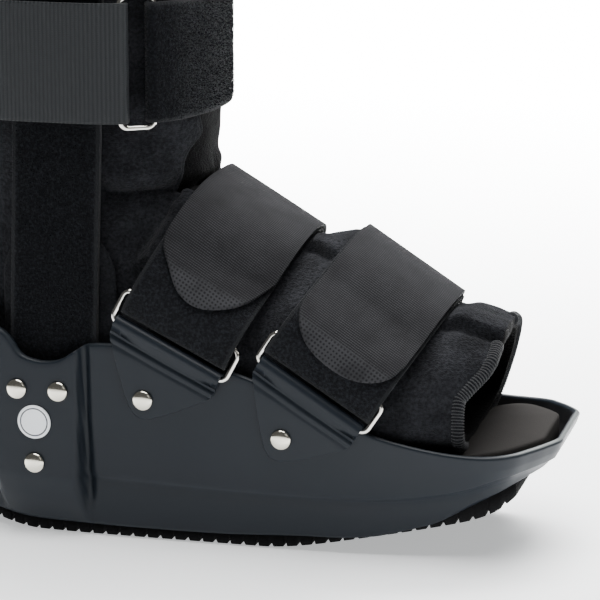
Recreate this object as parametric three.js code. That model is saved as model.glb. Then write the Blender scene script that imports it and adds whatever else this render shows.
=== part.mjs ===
// Short walking boot: a moulded rocker shell, a padded bootie, two riveted stays, three straps.
// Millimetres, +Z up, +X to the toe, -Y the near side. Shares run from the heel (0) to the toe (1).
import * as THREE from 'three';

// Shell
const SHELL_LENGTH = 295;
const SHELL_WIDTH = 114;
const RIM_HEIGHT = 104;
const SHELL_WALL = 3;
const SIDE_TAPER = 9;
const TOE_TAPER = 8.5;
const HEEL_TAPER = 11;
const SOLE_RISE = 34;
const CREASE_HEIGHT = 41;
const FLOOR_HEIGHT = 38;
const PANEL_BULGE = 3;
const PANEL_WIDTH = 47;
const PANEL_EDGE = 5;
const PANEL_SETBACK = 8.8;
const PANEL_TAPER = 0.2;
const UPRIGHT_SHARE = 0.268;
const CLEAR = 0.3;
const SLACK = 0.5;

// Sole and insole
const OUTSOLE_DROP = 32;
const OUTSOLE_BASE = 2;
const LUG_PITCH = 12.5;
const LUG_LAND = 10.4;
const LUG_DEPTH = 2.6;
const LUG_ROOT = 1.09;
const OUTSOLE_INSET = 1.5;
const OUTSOLE_TOE = 18;
const INSOLE_THICK = 10;
const INSOLE_GAP = 1;

// Padded liner
const LINER_TOP = 272;
const LINER_WALL = 6;
const LINER_HALF = SHELL_WIDTH / 2 - SHELL_WALL - 2;
const LINER_GROUND = 0.5;
const SOLE_ROUNDNESS = 3;
const EDGE_ROLL = 5.5;
const EDGE_STEPS = 14;
const EDGE_FIRST = 4;

// Stays, their pads and fasteners
const UPRIGHT_WIDTH = 39;
const UPRIGHT_THICK = 3.6;
const UPRIGHT_TOP = 258;
const UPRIGHT_FOOT = 44;
const UPRIGHT_LEAN = 2.2;
const UPRIGHT_FLARE = 0.8;
const UPRIGHT_CUT = 11;
const UPRIGHT_SHIFT = 1.3;
const UPRIGHT_PIVOT = 94;
const UPRIGHT_NECK = 71;
const UPRIGHT_SHOULDER = 6;
const PAD_WIDTH = 51;
const PAD_THICK = 3.5;
const PAD_TOP = 139;
const PAD_FOOT = 62;
const PAD_MARGIN = 12;
const PAD_PRESS = 1.7;
const RIVET_DIAMETER = 9;
const RIVET_DOME = 2.1;
const LABEL_DIAMETER = 15;
const LABEL_THICK = 0.6;

// Straps, tabs and rings
const STRAP_WIDTH = 50.8;
const PILE_THICK = 2;
const WEB_THICK = 1.8;
const WIRE = 2.6;
const RING_LENGTH = 58;
const RING_HEIGHT = 17;
const RING_CORNER = 3.2;
const RING_LEAN = 1.8;
const TAB_SHEET = 1.3;
const TAB_WIDTH = 51.5;
const TAB_DEPTH = 37;
const TAB_RETURN = 9;
const TIP_DEPTH = 17;
const TAB_ROUND = 7;
const TAB_TIP = 1.3;
const STRAP_BLEND = 26;
const LEG_STRAP_BOTTOM = 184;
const LEG_HALF_DEPTH = 0.21 * SHELL_LENGTH;
const LEG_HALF_WIDTH = LINER_HALF + 7.8;
const LEG_CENTRE = -0.0078 * SHELL_LENGTH;
const STRAP_MARGIN = 2;
const LEG_ROUNDNESS = 2.4;
const LEG_RING = [-62, -47];
const LEG_RING_LIFT = 1;
const LEG_WRAP = [105, 62];

// Plan of the rim: share of the length, share of the half width
const PLAN = [
  { along: 0, half: 0 }, { along: 0.013, half: 0.34 }, { along: 0.05, half: 0.635 },
  { along: 0.11, half: 0.845 }, { along: 0.17, half: 0.945 }, { along: 0.25, half: 0.99 },
  { along: 0.5, half: 0.99 }, { along: 0.66, half: 0.975 }, { along: 0.82, half: 0.94 },
  { along: 0.91, half: 0.91 }, { along: 0.944, half: 0.83 }, { along: 0.966, half: 0.7 },
  { along: 0.985, half: 0.56 }, { along: 1, half: 0.4 }, { along: 1, half: 0 },
];
// Height of the rim as a share of its height at the heel
const RIM = [
  { along: 0, up: 1 }, { along: 0.09, up: 0.985 }, { along: 0.15, up: 0.95 },
  { along: 0.186, up: 0.9 }, { along: 0.2, up: 0.865 }, { along: 0.216, up: 0.8 },
  { along: 0.24, up: 0.773 }, { along: 0.262, up: 0.771 }, { along: 0.282, up: 0.785 },
  { along: 0.302, up: 0.822 }, { along: 0.32, up: 0.848 }, { along: 0.37, up: 0.853 },
  { along: 0.46, up: 0.812 }, { along: 0.55, up: 0.753 }, { along: 0.64, up: 0.65 },
  { along: 0.74, up: 0.532 }, { along: 0.8, up: 0.488 }, { along: 0.86, up: 0.463 },
  { along: 0.92, up: 0.46 }, { along: 1, up: 0.483 },
];
// Underside of the shell as a share of its height at the toe
const SOLE = [
  { along: 0, up: 0.72 }, { along: 0.06, up: 0.42 }, { along: 0.16, up: 0.2 },
  { along: 0.26, up: 0.16 }, { along: 0.5, up: 0.15 }, { along: 0.62, up: 0.21 },
  { along: 0.735, up: 0.34 }, { along: 0.84, up: 0.575 }, { along: 0.91, up: 0.83 },
  { along: 1, up: 1.1 },
];
// Crease between the upper wall and the rocker skirt, share of its height at the toe
const CREASE = [
  { along: 0, up: 0.9 }, { along: 0.2, up: 0.745 }, { along: 0.35, up: 0.69 },
  { along: 0.6, up: 0.64 }, { along: 0.77, up: 0.655 }, { along: 0.87, up: 0.77 },
  { along: 0.94, up: 0.93 }, { along: 1, up: 1.02 },
];
// Floor inside the shell, share of its height at the toe
const FLOOR = [
  { along: 0, up: 0.79 }, { along: 0.6, up: 0.77 }, { along: 0.82, up: 0.86 }, { along: 1, up: 1 },
];
// Ground line of the tread, share of its drop to the toe end
const TREAD = [
  { along: 0, up: 0.66 }, { along: 0.06, up: 0.34 }, { along: 0.15, up: 0.11 },
  { along: 0.225, up: 0 }, { along: 0.57, up: 0 }, { along: 0.63, up: 0.05 },
  { along: 0.735, up: 0.24 }, { along: 0.84, up: 0.46 }, { along: 0.905, up: 0.64 },
  { along: 0.935, up: 0.82 }, { along: 0.95, up: 1 },
];
// Shell levels from the sole up, over the rim and down to the floor.
// taper is a share of the tapers, inward a count of walls, rise runs between two lines.
const LEVELS = [
  { from: 'sole', to: 'crease', rise: 0, taper: 1, inward: 0, bulge: 0 },
  { from: 'sole', to: 'crease', rise: 0.45, taper: 0.8, inward: 0, bulge: 0.45 },
  { from: 'sole', to: 'crease', rise: 0.96, taper: 0.55, inward: 0, bulge: 0.95 },
  { from: 'crease', to: 'rim', rise: 0.03, taper: 0.42, inward: 0, bulge: 1 },
  { from: 'crease', to: 'rim', rise: 0.5, taper: 0.17, inward: 0, bulge: 1 },
  { from: 'crease', to: 'rim', rise: 0.975, taper: 0, inward: 0, bulge: 1 },
  { from: 'crease', to: 'rim', rise: 1, taper: 0, inward: 0.5, bulge: 1 },
  { from: 'floor', to: 'rim', rise: 0.975, taper: 0, inward: 1, bulge: 1 },
  { from: 'floor', to: 'rim', rise: 0.45, taper: 0.2, inward: 1, bulge: 1 },
  { from: 'floor', to: 'rim', rise: 0.06, taper: 0.44, inward: 1.1, bulge: 0.9 },
  { from: 'floor', to: 'rim', rise: 0, taper: 0.6, inward: 1.4, bulge: 0.6 },
];
// The two foot straps: lean of the band, place of the tab fold, rise over it as a share of the
// bootie's height, drop of the rivet as a share of the tab, lift of the tip as a share of the
// ring, and the bootie's section under the rear and front edges of the band
const FOOT_STRAPS = [
  { lean: 27, foldAlong: 0.45, foldUp: 0.878, rise: 0.22, rivet: 0.778, tip: 0.56,
    rear: { half: 0.955, mid: 0.02, arch: 2.9, ease: 0.048 },
    front: { half: 0.965, mid: -0.1, arch: 2.0, ease: 0.0154 } },
  { lean: 33, foldAlong: 0.661, foldUp: 0.72, rise: 0.1985, rivet: 0.727, tip: 0.56,
    rear: { half: 0.965, mid: -0.1, arch: 2.0, ease: 0.0154 },
    front: { half: 0.95, mid: -0.2, arch: 2.1, ease: 0.0154 } },
];
// Bootie sections ahead of the straps: sole point, top point, half width, widest level, roundness
const TOE_SECTIONS = [
  { soleAlong: 0.857, topAlong: 0.909, topUp: 0.353, half: 0.9, mid: 0.3, arch: 2.3 },
  { soleAlong: 0.785, topAlong: 0.86, topUp: 0.372, half: 0.93, mid: 0.3, arch: 2.2 },
];
// Bootie sections behind the straps, fanned round the instep and up the leg
const LEG_SECTIONS = [
  { backAlong: 0.166, backUp: 0.152, frontAlong: 0.455, frontUp: 0.571, half: 0.87, base: 2.6, arch: 2.6 },
  { backAlong: 0.085, backUp: 0.16, frontAlong: 0.454, frontUp: 0.584, half: 0.865, base: 2.2, arch: 2.4 },
  { backAlong: 0.042, backUp: 0.215, frontAlong: 0.454, frontUp: 0.6, half: 0.86, base: 2, arch: 2.3 },
  { backAlong: 0.028, backUp: 0.31, frontAlong: 0.456, frontUp: 0.618, half: 0.86, base: 2, arch: 2.3 },
  { backAlong: 0.038, backUp: 0.42, frontAlong: 0.459, frontUp: 0.645, half: 0.865, base: 2, arch: 2.25 },
  { backAlong: 0.052, backUp: 0.53, frontAlong: 0.463, frontUp: 0.68, half: 0.89, base: 2.1, arch: 2.2 },
  { backAlong: 0.059, backUp: 0.66, frontAlong: 0.4645, frontUp: 0.76, half: 0.955, base: 2.2, arch: 2.2 },
  { backAlong: 0.058, backUp: 0.83, frontAlong: 0.465, frontUp: 0.87, half: 0.975, base: 2.2, arch: 2.2 },
  { backAlong: 0.055, backUp: 1, frontAlong: 0.468, frontUp: 1, half: 0.98, base: 2.2, arch: 2.2 },
];

// Rivets of the near and far stays, and the label, on the raised panel
const UPRIGHT_RIVETS = [
  { along: 0.214, up: 0.647 }, { along: 0.277, up: 0.646 }, { along: 0.2385, up: 0.333 },
];
const LABEL = { along: 0.24, up: 0.51 };

const ROUND_STEPS = 28;
const ARCH_STEPS = 20;
const SIDE_STEPS = 44;

// Place along the boot, from a share of its length
function along(share) {
  return (share - UPRIGHT_SHARE) * SHELL_LENGTH;
}

// Smooth line through the rows of a table, read at a share of the length
function profile(rows) {
  const slope = (i) => {
    const before = rows[Math.max(i - 1, 0)];
    const after = rows[Math.min(i + 1, rows.length - 1)];
    return (after.up - before.up) / (after.along - before.along);
  };
  return (share) => {
    const at = THREE.MathUtils.clamp(share, 0, 1);
    let i = rows.findIndex((row) => row.along >= at);
    i = Math.max((i < 0 ? rows.length : i) - 1, 0);
    const next = Math.min(i + 1, rows.length - 1);
    const span = rows[next].along - rows[i].along || 1;
    const t = Math.min((at - rows[i].along) / span, 1);
    const a = rows[i].up;
    const b = rows[next].up;
    const bend = t * (1 - t) * ((1 - t) * (slope(i) * span - b + a) - t * (slope(next) * span - b + a));
    return a + (b - a) * t + bend;
  };
}

const lines = {
  rim: (share) => RIM_HEIGHT * profile(RIM)(share),
  sole: (share) => SOLE_RISE * profile(SOLE)(share),
  crease: (share) => CREASE_HEIGHT * profile(CREASE)(share),
  floor: (share) => FLOOR_HEIGHT * profile(FLOOR)(share),
  tread: (share) => OUTSOLE_DROP * Math.max(profile(TREAD)(share), 0),
};

// Closed body from points and faces, turned so that its faces point out
function closedBody(points, faces) {
  const side = (face) => points[face[0]].dot(new THREE.Vector3().crossVectors(points[face[1]], points[face[2]]));
  const volume = faces.reduce((sum, face) => sum + side(face), 0);
  const turned = volume < 0 ? faces.map(([a, b, c]) => [a, c, b]) : faces;
  const geometry = new THREE.BufferGeometry();
  geometry.setAttribute('position', new THREE.Float32BufferAttribute(points.flatMap((p) => p.toArray()), 3));
  geometry.setIndex(turned.flat());
  geometry.computeVertexNormals();
  return geometry;
}

function quad(a, b, c, d) {
  return [[a, b, c], [a, c, d]];
}

// Body skinned over closed rings of equal count; the end rings are closed across,
// or joined to each other when the body is itself a ring
function skin(rings, looped = false) {
  const count = rings[0].length;
  const points = rings.flat();
  const faces = [];
  const last = looped ? rings.length : rings.length - 1;
  for (let r = 0; r < last; r += 1) {
    const here = r * count;
    const there = ((r + 1) % rings.length) * count;
    for (let k = 0; k < count; k += 1) {
      const n = (k + 1) % count;
      faces.push(...quad(here + k, there + k, there + n, here + n));
    }
  }
  if (!looped) {
    const half = count / 2;
    const top = (rings.length - 1) * count;
    for (let k = 0; k < half; k += 1) {
      const near = (count - k) % count;
      const nearNext = count - k - 1;
      if (k > 0) {
        faces.push([k, k + 1, near], [top + k, top + near, top + k + 1]);
      }
      if (k < half - 1) {
        faces.push([k + 1, nearNext, near], [top + k + 1, top + near, top + nearNext]);
      }
    }
  }
  return closedBody(points, faces);
}

// Sheet of even thickness over a grid of centre points, rows of equal count
function thickSheet(grid, thickness) {
  const rows = grid.length;
  const count = grid[0].length;
  const normalAt = (j, i) => {
    const run = new THREE.Vector3().subVectors(grid[j][Math.min(i + 1, count - 1)], grid[j][Math.max(i - 1, 0)]);
    const across = new THREE.Vector3().subVectors(grid[Math.min(j + 1, rows - 1)][i], grid[Math.max(j - 1, 0)][i]);
    return run.cross(across).normalize();
  };
  const points = [1, -1].flatMap((side) => grid.flatMap((row, j) => row.map(
    (p, i) => p.clone().addScaledVector(normalAt(j, i), side * thickness / 2))));
  const under = rows * count;
  const faces = [];
  for (let j = 0; j < rows - 1; j += 1) {
    for (let i = 0; i < count - 1; i += 1) {
      const a = j * count + i;
      faces.push(...quad(a, a + 1, a + count + 1, a + count));
      faces.push(...quad(under + a, under + a + count, under + a + count + 1, under + a + 1));
    }
  }
  const rim = [];
  for (let i = 0; i < count - 1; i += 1) rim.push(i);
  for (let j = 0; j < rows - 1; j += 1) rim.push(j * count + count - 1);
  for (let i = count - 1; i > 0; i -= 1) rim.push((rows - 1) * count + i);
  for (let j = rows - 1; j > 0; j -= 1) rim.push(j * count);
  rim.forEach((a, k) => {
    const b = rim[(k + 1) % rim.length];
    faces.push(...quad(a, under + a, under + b, b));
  });
  return closedBody(points, faces);
}

// Round bar along a path of points; closed paths make a ring, open ones get flat ends
function roundBar(path, radius, sides, closed) {
  const count = path.length;
  const rings = path.map((p, i) => {
    const ahead = path[closed ? (i + 1) % count : Math.min(i + 1, count - 1)];
    const behind = path[closed ? (i + count - 1) % count : Math.max(i - 1, 0)];
    const run = new THREE.Vector3().subVectors(ahead, behind).normalize();
    const side = new THREE.Vector3().crossVectors(run, new THREE.Vector3(0, 1, 0.001)).normalize();
    const rise = new THREE.Vector3().crossVectors(side, run);
    return Array.from({ length: sides }, (_, k) => {
      const turn = (k / sides) * Math.PI * 2;
      return p.clone().addScaledVector(side, radius * Math.cos(turn)).addScaledVector(rise, radius * Math.sin(turn));
    });
  });
  return skin(rings, closed);
}

const group = new THREE.Group();

function addPiece(name, geometry, colour, roughness, metalness = 0) {
  const material = new THREE.MeshStandardMaterial({ color: colour, roughness, metalness });
  const mesh = new THREE.Mesh(geometry, material);
  mesh.name = name;
  group.add(mesh);
  return mesh;
}

// Stations of the plan on one side, from the heel to the toe, evenly spaced
const planCurve = new THREE.CatmullRomCurve3(
  PLAN.map((row) => new THREE.Vector3(row.along * SHELL_LENGTH, row.half * SHELL_WIDTH / 2, 0)), false, 'centripetal');

function planStations(steps) {
  return planCurve.getSpacedPoints(steps).map((p) => ({
    share: THREE.MathUtils.clamp(p.x / SHELL_LENGTH, 0, 1), half: Math.max(p.y, 0) / (SHELL_WIDTH / 2) }));
}

// How far a place belongs to the raised flat panel over the stay, 0 to 1
function panelShare(x) {
  const reach = PANEL_WIDTH / 2 - Math.abs(x - along(UPRIGHT_SHARE) + PANEL_SETBACK);
  return THREE.MathUtils.smoothstep(reach, 0, PANEL_EDGE);
}

// Closed plan ring with its own insets and heights; the panel is a flat plane standing proud
function planRing(stations, inset, height, panel = { blend: 0, half: 0 }) {
  const side = (station, sign) => {
    const length = SHELL_LENGTH - inset.heel - inset.toe;
    const x = along(0) + inset.heel + station.share * length;
    const plain = station.half * (SHELL_WIDTH / 2 - inset.side);
    const y = THREE.MathUtils.lerp(plain, panel.half, panel.blend * panelShare(x));
    return new THREE.Vector3(x, sign * y, height(station.share));
  };
  const far = stations.map((station) => side(station, 1));
  const near = stations.slice(1, -1).reverse().map((station) => side(station, -1));
  return [...far, ...near];
}

// Shell: a tray with a thick rocker sole and thin walls
function shellRings() {
  const stations = planStations(SIDE_STEPS);
  return LEVELS.map((level) => planRing(stations, {
    side: level.taper * SIDE_TAPER + level.inward * SHELL_WALL,
    toe: level.taper * TOE_TAPER + level.inward * SHELL_WALL,
    heel: level.taper * HEEL_TAPER + level.inward * SHELL_WALL,
  }, (share) => THREE.MathUtils.lerp(lines[level.from](share), lines[level.to](share), level.rise), {
    blend: level.bulge,
    half: SHELL_WIDTH / 2 + PANEL_BULGE - level.inward * SHELL_WALL - level.taper * SIDE_TAPER * PANEL_TAPER,
  }));
}
const shell = addPiece('shell', skin(shellRings()), '#33383f', 0.5);

// Outer face of the shell wall at a place and height, on either side
const raycaster = new THREE.Raycaster();
function wallAt(x, z) {
  const share = x / SHELL_LENGTH + UPRIGHT_SHARE;
  const level = Math.min(z, lines.rim(share) - SHELL_WALL);
  raycaster.set(new THREE.Vector3(x, -SHELL_WIDTH, level), new THREE.Vector3(0, 1, 0));
  const hits = raycaster.intersectObject(shell);
  return hits.length ? -hits[0].point.y : SHELL_WIDTH / 2;
}

// Outsole: rubber tread with cross lugs that follow the rocker
function outsoleRings() {
  const stations = planStations(160);
  const halfAt = (share) => {
    const i = Math.max(stations.findIndex((station) => station.share >= share), 1);
    const a = stations[i - 1];
    const b = stations[i];
    const t = (share - a.share) / (b.share - a.share || 1);
    return THREE.MathUtils.lerp(a.half, b.half, t) * (SHELL_WIDTH / 2 - SIDE_TAPER - OUTSOLE_INSET);
  };
  const start = along(0) + HEEL_TAPER + OUTSOLE_INSET;
  const end = along(1) - OUTSOLE_TOE;
  const middle = along(0.5);
  const rows = [];
  const addRow = (x, depth) => {
    const share = (x - along(0) - HEEL_TAPER) / (SHELL_LENGTH - HEEL_TAPER - TOE_TAPER);
    const top = lines.sole(share) - CLEAR;
    const tread = lines.tread((x - along(0)) / SHELL_LENGTH);
    const low = Math.min(tread + LUG_DEPTH - depth, top - OUTSOLE_BASE);
    const half = halfAt(share);
    rows.push([new THREE.Vector3(x, -half, low), new THREE.Vector3(x, half, low),
      new THREE.Vector3(x, half, top), new THREE.Vector3(x, -half, top)]);
  };
  const first = Math.ceil((start - middle) / LUG_PITCH);
  const last = Math.floor((end - middle) / LUG_PITCH);
  addRow(start, 0);
  for (let n = first; n <= last; n += 1) {
    const centre = middle + n * LUG_PITCH;
    [[-LUG_ROOT, 0], [-1, LUG_DEPTH], [1, LUG_DEPTH], [LUG_ROOT, 0]].forEach(([offset, depth]) => {
      const x = centre + offset * LUG_LAND / 2;
      if (x > start + 0.5 && x < end - 0.5) addRow(x, depth);
    });
  }
  addRow(end, 0);
  return rows;
}
addPiece('outsole', skin(outsoleRings()), '#141518', 0.85);

// Insole: foam pad on the floor of the shell
function insoleRings() {
  const stations = planStations(30);
  const floorLevel = LEVELS[LEVELS.length - 1];
  const ring = (more, lift) => planRing(stations, {
    side: floorLevel.taper * SIDE_TAPER + floorLevel.inward * SHELL_WALL + more,
    toe: floorLevel.taper * TOE_TAPER + floorLevel.inward * SHELL_WALL + more - INSOLE_GAP,
    heel: floorLevel.taper * HEEL_TAPER + floorLevel.inward * SHELL_WALL + more,
  }, (share) => lines.floor(share) + lift);
  return [ring(INSOLE_GAP, CLEAR), ring(0, INSOLE_THICK - INSOLE_GAP), ring(INSOLE_GAP, INSOLE_THICK)];
}
addPiece('insole', skin(insoleRings()), '#3d3b3a', 0.9);

// Frame of a foot strap: origin at the tab fold, w along the fold, v up the strap
function strapFrame(strap) {
  const lean = THREE.MathUtils.degToRad(strap.lean);
  const origin = new THREE.Vector3(along(strap.foldAlong), 0, strap.foldUp * RIM_HEIGHT);
  const w = new THREE.Vector3(Math.cos(lean), 0, -Math.sin(lean));
  const v = new THREE.Vector3(Math.sin(lean), 0, Math.cos(lean));
  return { at: (c, y, up) => origin.clone().addScaledVector(w, c).addScaledVector(v, up).setY(y), v };
}

// Top of the bootie under a strap, and the level of its sole, measured in the strap's frame
const STACK = PILE_THICK + WEB_THICK + CLEAR + SLACK;
const EDGE = STRAP_WIDTH / 2 + STRAP_MARGIN;

function soleLevel(x) {
  const floorLevel = LEVELS[LEVELS.length - 1];
  const heel = floorLevel.taper * HEEL_TAPER + floorLevel.inward * SHELL_WALL;
  const toe = floorLevel.taper * TOE_TAPER + floorLevel.inward * SHELL_WALL - INSOLE_GAP;
  const share = (x - along(0) - heel) / (SHELL_LENGTH - heel - toe);
  return lines.floor(share) + INSOLE_THICK + LINER_GROUND;
}

// Section of the bootie in the plane of a strap at one of its edges
function strapSection(strap, edge) {
  const frame = strapFrame(strap);
  const c = edge === 'rear' ? -EDGE : EDGE;
  const row = strap[edge];
  const rise = strap.rise * LINER_TOP - STACK;
  const base = frame.at(c, 0, 0);
  const down = (base.z - soleLevel(base.x)) / frame.v.z;
  const back = frame.at(c, 0, -down);
  back.z = Math.max(back.z, soleLevel(back.x));
  const front = frame.at(c, 0, rise);
  const length = front.distanceTo(back);
  const mid = (length - rise + row.mid * rise) / length;
  return { back, front, half: row.half * LINER_HALF, mid, base: SOLE_ROUNDNESS, arch: row.arch };
}

function linerSections() {
  const toe = TOE_SECTIONS.map((row) => {
    const x = along(row.soleAlong);
    return { back: new THREE.Vector3(x, 0, soleLevel(x)),
      front: new THREE.Vector3(along(row.topAlong), 0, row.topUp * LINER_TOP),
      half: row.half * LINER_HALF, mid: row.mid, base: SOLE_ROUNDNESS, arch: row.arch };
  });
  const straps = [1, 0].flatMap((n) => ['front', 'rear'].map((edge) => strapSection(FOOT_STRAPS[n], edge)));
  const leg = LEG_SECTIONS.map((row) => ({
    back: new THREE.Vector3(along(row.backAlong), 0, row.backUp * LINER_TOP),
    front: new THREE.Vector3(along(row.frontAlong), 0, row.frontUp * LINER_TOP),
    half: row.half * LINER_HALF, mid: 0.5, base: row.base, arch: row.arch }));
  return [...toe, ...straps, ...leg];
}

function power(value, exponent) {
  return Math.sign(value) * Math.abs(value) ** exponent;
}

// Stays: flat bars in loop covers, riveted inside the shell, leaning a little out and forward
const WALL_INSIDE = SHELL_WIDTH / 2 * 0.99 - SHELL_WALL - CLEAR;
const lean = (degrees) => Math.tan(THREE.MathUtils.degToRad(degrees));
const stayCentre = (z) => -UPRIGHT_SHIFT + (z - UPRIGHT_PIVOT) * lean(UPRIGHT_LEAN);
const stayFace = (z) => WALL_INSIDE - CLEAR + (z - UPRIGHT_PIVOT) * lean(UPRIGHT_FLARE);
const padFace = (z) => stayFace(z) - UPRIGHT_THICK - CLEAR;
const PAD_OUTER = Math.min(padFace(PAD_FOOT), padFace(PAD_TOP));
const PAD_INNER = PAD_OUTER - PAD_THICK;

// Half width left for the bootie beside the ankle pads, growing away from them
function padLimit(x, z) {
  const beside = Math.max(Math.abs(x) - PAD_WIDTH / 2 - PAD_MARGIN, 0);
  const above = Math.max(z - PAD_TOP - PAD_MARGIN, 0);
  return PAD_INNER - PAD_PRESS + 1.5 * Math.max(beside, above);
}

// One ring of the bootie, shrunk by a wall for the inside
function linerRing(section, inward, steps) {
  const run = new THREE.Vector3().subVectors(section.front, section.back);
  const length = run.length() - 2 * inward;
  run.normalize();
  return Array.from({ length: steps }, (_, k) => {
    const turn = (k / steps) * Math.PI * 2;
    const roundness = Math.cos(turn) < 0 ? section.arch : section.base;
    const rise = Math.cos(turn) < 0
      ? section.mid + (1 - section.mid) * power(-Math.cos(turn), 2 / roundness)
      : section.mid - section.mid * power(Math.cos(turn), 2 / roundness);
    const y = (section.half - inward) * power(Math.sin(turn), 2 / roundness);
    const spot = section.back.clone().addScaledVector(run, inward + rise * length);
    const limit = padLimit(spot.x, spot.z) - inward;
    return spot.setY(THREE.MathUtils.clamp(y, -limit, limit));
  });
}
const sections = linerSections();
const outerRings = sections.map((section) => linerRing(section, 0, ROUND_STEPS));
const innerRings = sections.map((section) => linerRing(section, LINER_WALL, ROUND_STEPS)).reverse();
addPiece('liner', skin([...outerRings, ...innerRings], true), '#232428', 0.95);

// Flat standing piece from rows of rear edge, front edge, face and height, with a round top
function standingPiece(rows, thickness, side, columns) {
  const grid = rows.map((row) => Array.from({ length: columns + 1 }, (_, k) => {
    const x = THREE.MathUtils.lerp(row.rear, row.front, k / columns);
    return new THREE.Vector3(x, side * (row.face - thickness / 2), row.z);
  }));
  return thickSheet(grid, thickness);
}

function roundTop(centreAt, faceAt, width, top, steps) {
  const radius = width / 2;
  return Array.from({ length: steps + 1 }, (_, k) => {
    const turn = (k / steps) * Math.PI * 0.47;
    const z = top - radius + radius * Math.sin(turn);
    const half = radius * Math.cos(turn);
    return { z, rear: centreAt(z) - half, front: centreAt(z) + half, face: faceAt(z) };
  });
}

// Rows of a stay from its foot to its round top
const stayRow = (z, cut) => ({ z, rear: stayCentre(z) - UPRIGHT_WIDTH / 2,
  front: stayCentre(z) + UPRIGHT_WIDTH / 2 - cut, face: stayFace(z) });
const stayRows = [
  stayRow(UPRIGHT_FOOT, UPRIGHT_CUT), stayRow(UPRIGHT_NECK, UPRIGHT_CUT),
  stayRow(UPRIGHT_NECK + UPRIGHT_SHOULDER, 0),
  stayRow(LEG_STRAP_BOTTOM, 0), ...roundTop(stayCentre, stayFace, UPRIGHT_WIDTH, UPRIGHT_TOP, 6),
];

// Ankle pads between the stays and the bootie
const padRows = [
  { z: PAD_FOOT, rear: -PAD_WIDTH / 2, front: PAD_WIDTH / 2, face: PAD_OUTER },
  ...roundTop(() => 0, () => PAD_OUTER, PAD_WIDTH, PAD_TOP, 5),
];

// Fold of a strap tab on the shell wall, and the two bars of its ring
function ringBars(strap) {
  const frame = strapFrame(strap);
  const seat = TAB_SHEET + 2 * SLACK + WIRE / 2;
  const drop = -(TAB_SHEET + SLACK + WIRE / 2);
  const wall = (c) => {
    const spot = frame.at(c, 0, drop);
    return wallAt(spot.x, spot.z);
  };
  const span = TAB_WIDTH * 0.4;
  const rear = wall(-span);
  const front = wall(span);
  const low = (c) => THREE.MathUtils.lerp(rear, front, (c + span) / (2 * span)) + seat;
  return { frame, low, high: (c) => low(c) - RING_LEAN, drop, rise: drop + RING_HEIGHT - WIRE };
}

// Points along a turn round a bar, in a plane of out and up
function turnRound(out, up, radius, fromTurn, toTurn, steps) {
  return Array.from({ length: steps + 1 }, (_, k) => {
    const turn = THREE.MathUtils.degToRad(THREE.MathUtils.lerp(fromTurn, toTurn, k / steps));
    return { out: out + radius * Math.cos(turn), up: up + radius * Math.sin(turn) };
  });
}

// Strap tab: a plastic sheet folded over the ring's lower bar, both leaves on the shell wall
function tabGrid(strap, side) {
  const { frame, low, drop } = ringBars(strap);
  const columns = 6;
  return Array.from({ length: columns + 1 }, (_, j) => {
    const c = (j / columns - 0.5) * TAB_WIDTH;
    const reach = Math.hypot(c - TAB_TIP, TAB_ROUND) - TAB_ROUND;
    const slope = TAB_DEPTH * 0.76 / (TAB_WIDTH / 2 - TAB_ROUND * 0.6);
    const foot = Math.min(-TAB_DEPTH + reach * slope, -TAB_RETURN);
    const bar = low(c);
    const radius = WIRE / 2 + SLACK + TAB_SHEET / 2;
    const leaf = (up, layer) => {
      const spot = frame.at(c, 0, up);
      return { out: wallAt(spot.x, spot.z) + SLACK + TAB_SHEET / 2 + layer * (TAB_SHEET + CLEAR), up };
    };
    const neck = drop - radius * 1.5;
    const path = [
      leaf(foot, 1), leaf(THREE.MathUtils.lerp(foot, neck, 0.5), 1), leaf(neck - 1, 1),
      ...turnRound(bar, drop, radius, -25, 180, 6),
      { out: bar - radius, up: drop - radius }, { out: bar - radius, up: Math.max(foot, -TAB_RETURN) - 0.5 },
    ];
    return path.map((spot) => frame.at(c, side * spot.out, spot.up));
  });
}

// Rectangular wire ring between a tab and its strap
function ringPath(corner, length, height, place) {
  const shape = new THREE.Shape();
  const a = (length - WIRE) / 2;
  const b = (height - WIRE) / 2;
  shape.moveTo(-a + corner, -b);
  shape.lineTo(a - corner, -b);
  shape.absarc(a - corner, -b + corner, corner, -Math.PI / 2, 0, false);
  shape.lineTo(a, b - corner);
  shape.absarc(a - corner, b - corner, corner, 0, Math.PI / 2, false);
  shape.lineTo(-a + corner, b);
  shape.absarc(-a + corner, b - corner, corner, Math.PI / 2, Math.PI, false);
  shape.lineTo(-a, -b + corner);
  shape.absarc(-a + corner, -b + corner, corner, Math.PI, Math.PI * 1.5, false);
  const spots = shape.getPoints(2).filter((p, i, all) => i === 0 || p.distanceTo(all[i - 1]) > 0.01);
  if (spots[0].distanceTo(spots[spots.length - 1]) < 0.01) spots.pop();
  return spots.map((p) => place(p.x, p.y));
}

function footRing(strap, side) {
  const { frame, low, high, drop, rise } = ringBars(strap);
  const middle = (drop + rise) / 2;
  const path = ringPath(RING_CORNER, RING_LENGTH, RING_HEIGHT, (c, up) => {
    const t = up / (rise - drop) + 0.5;
    return frame.at(c, side * THREE.MathUtils.lerp(low(c), high(c), t), middle + up);
  });
  return roundBar(path, WIRE / 2, 6, true);
}

// Half width and height of a strap over the bootie, at a place across the strap
function strapArch(strap, c, offset) {
  const t = THREE.MathUtils.clamp((c + EDGE) / (2 * EDGE), 0, 1);
  const rear = strap.rear;
  const front = strap.front;
  const top = strap.rise * LINER_TOP - STACK;
  const mix = (key) => THREE.MathUtils.lerp(rear[key], front[key], t);
  const half = (mix('half') + mix('ease')) * LINER_HALF + offset;
  const mid = mix('mid') * top;
  const arch = mix('arch');
  return (turn) => ({
    out: half * power(Math.cos(turn), 2 / arch),
    up: mid + (top + offset - mid) * power(Math.sin(turn), 2 / arch) });
}

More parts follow.
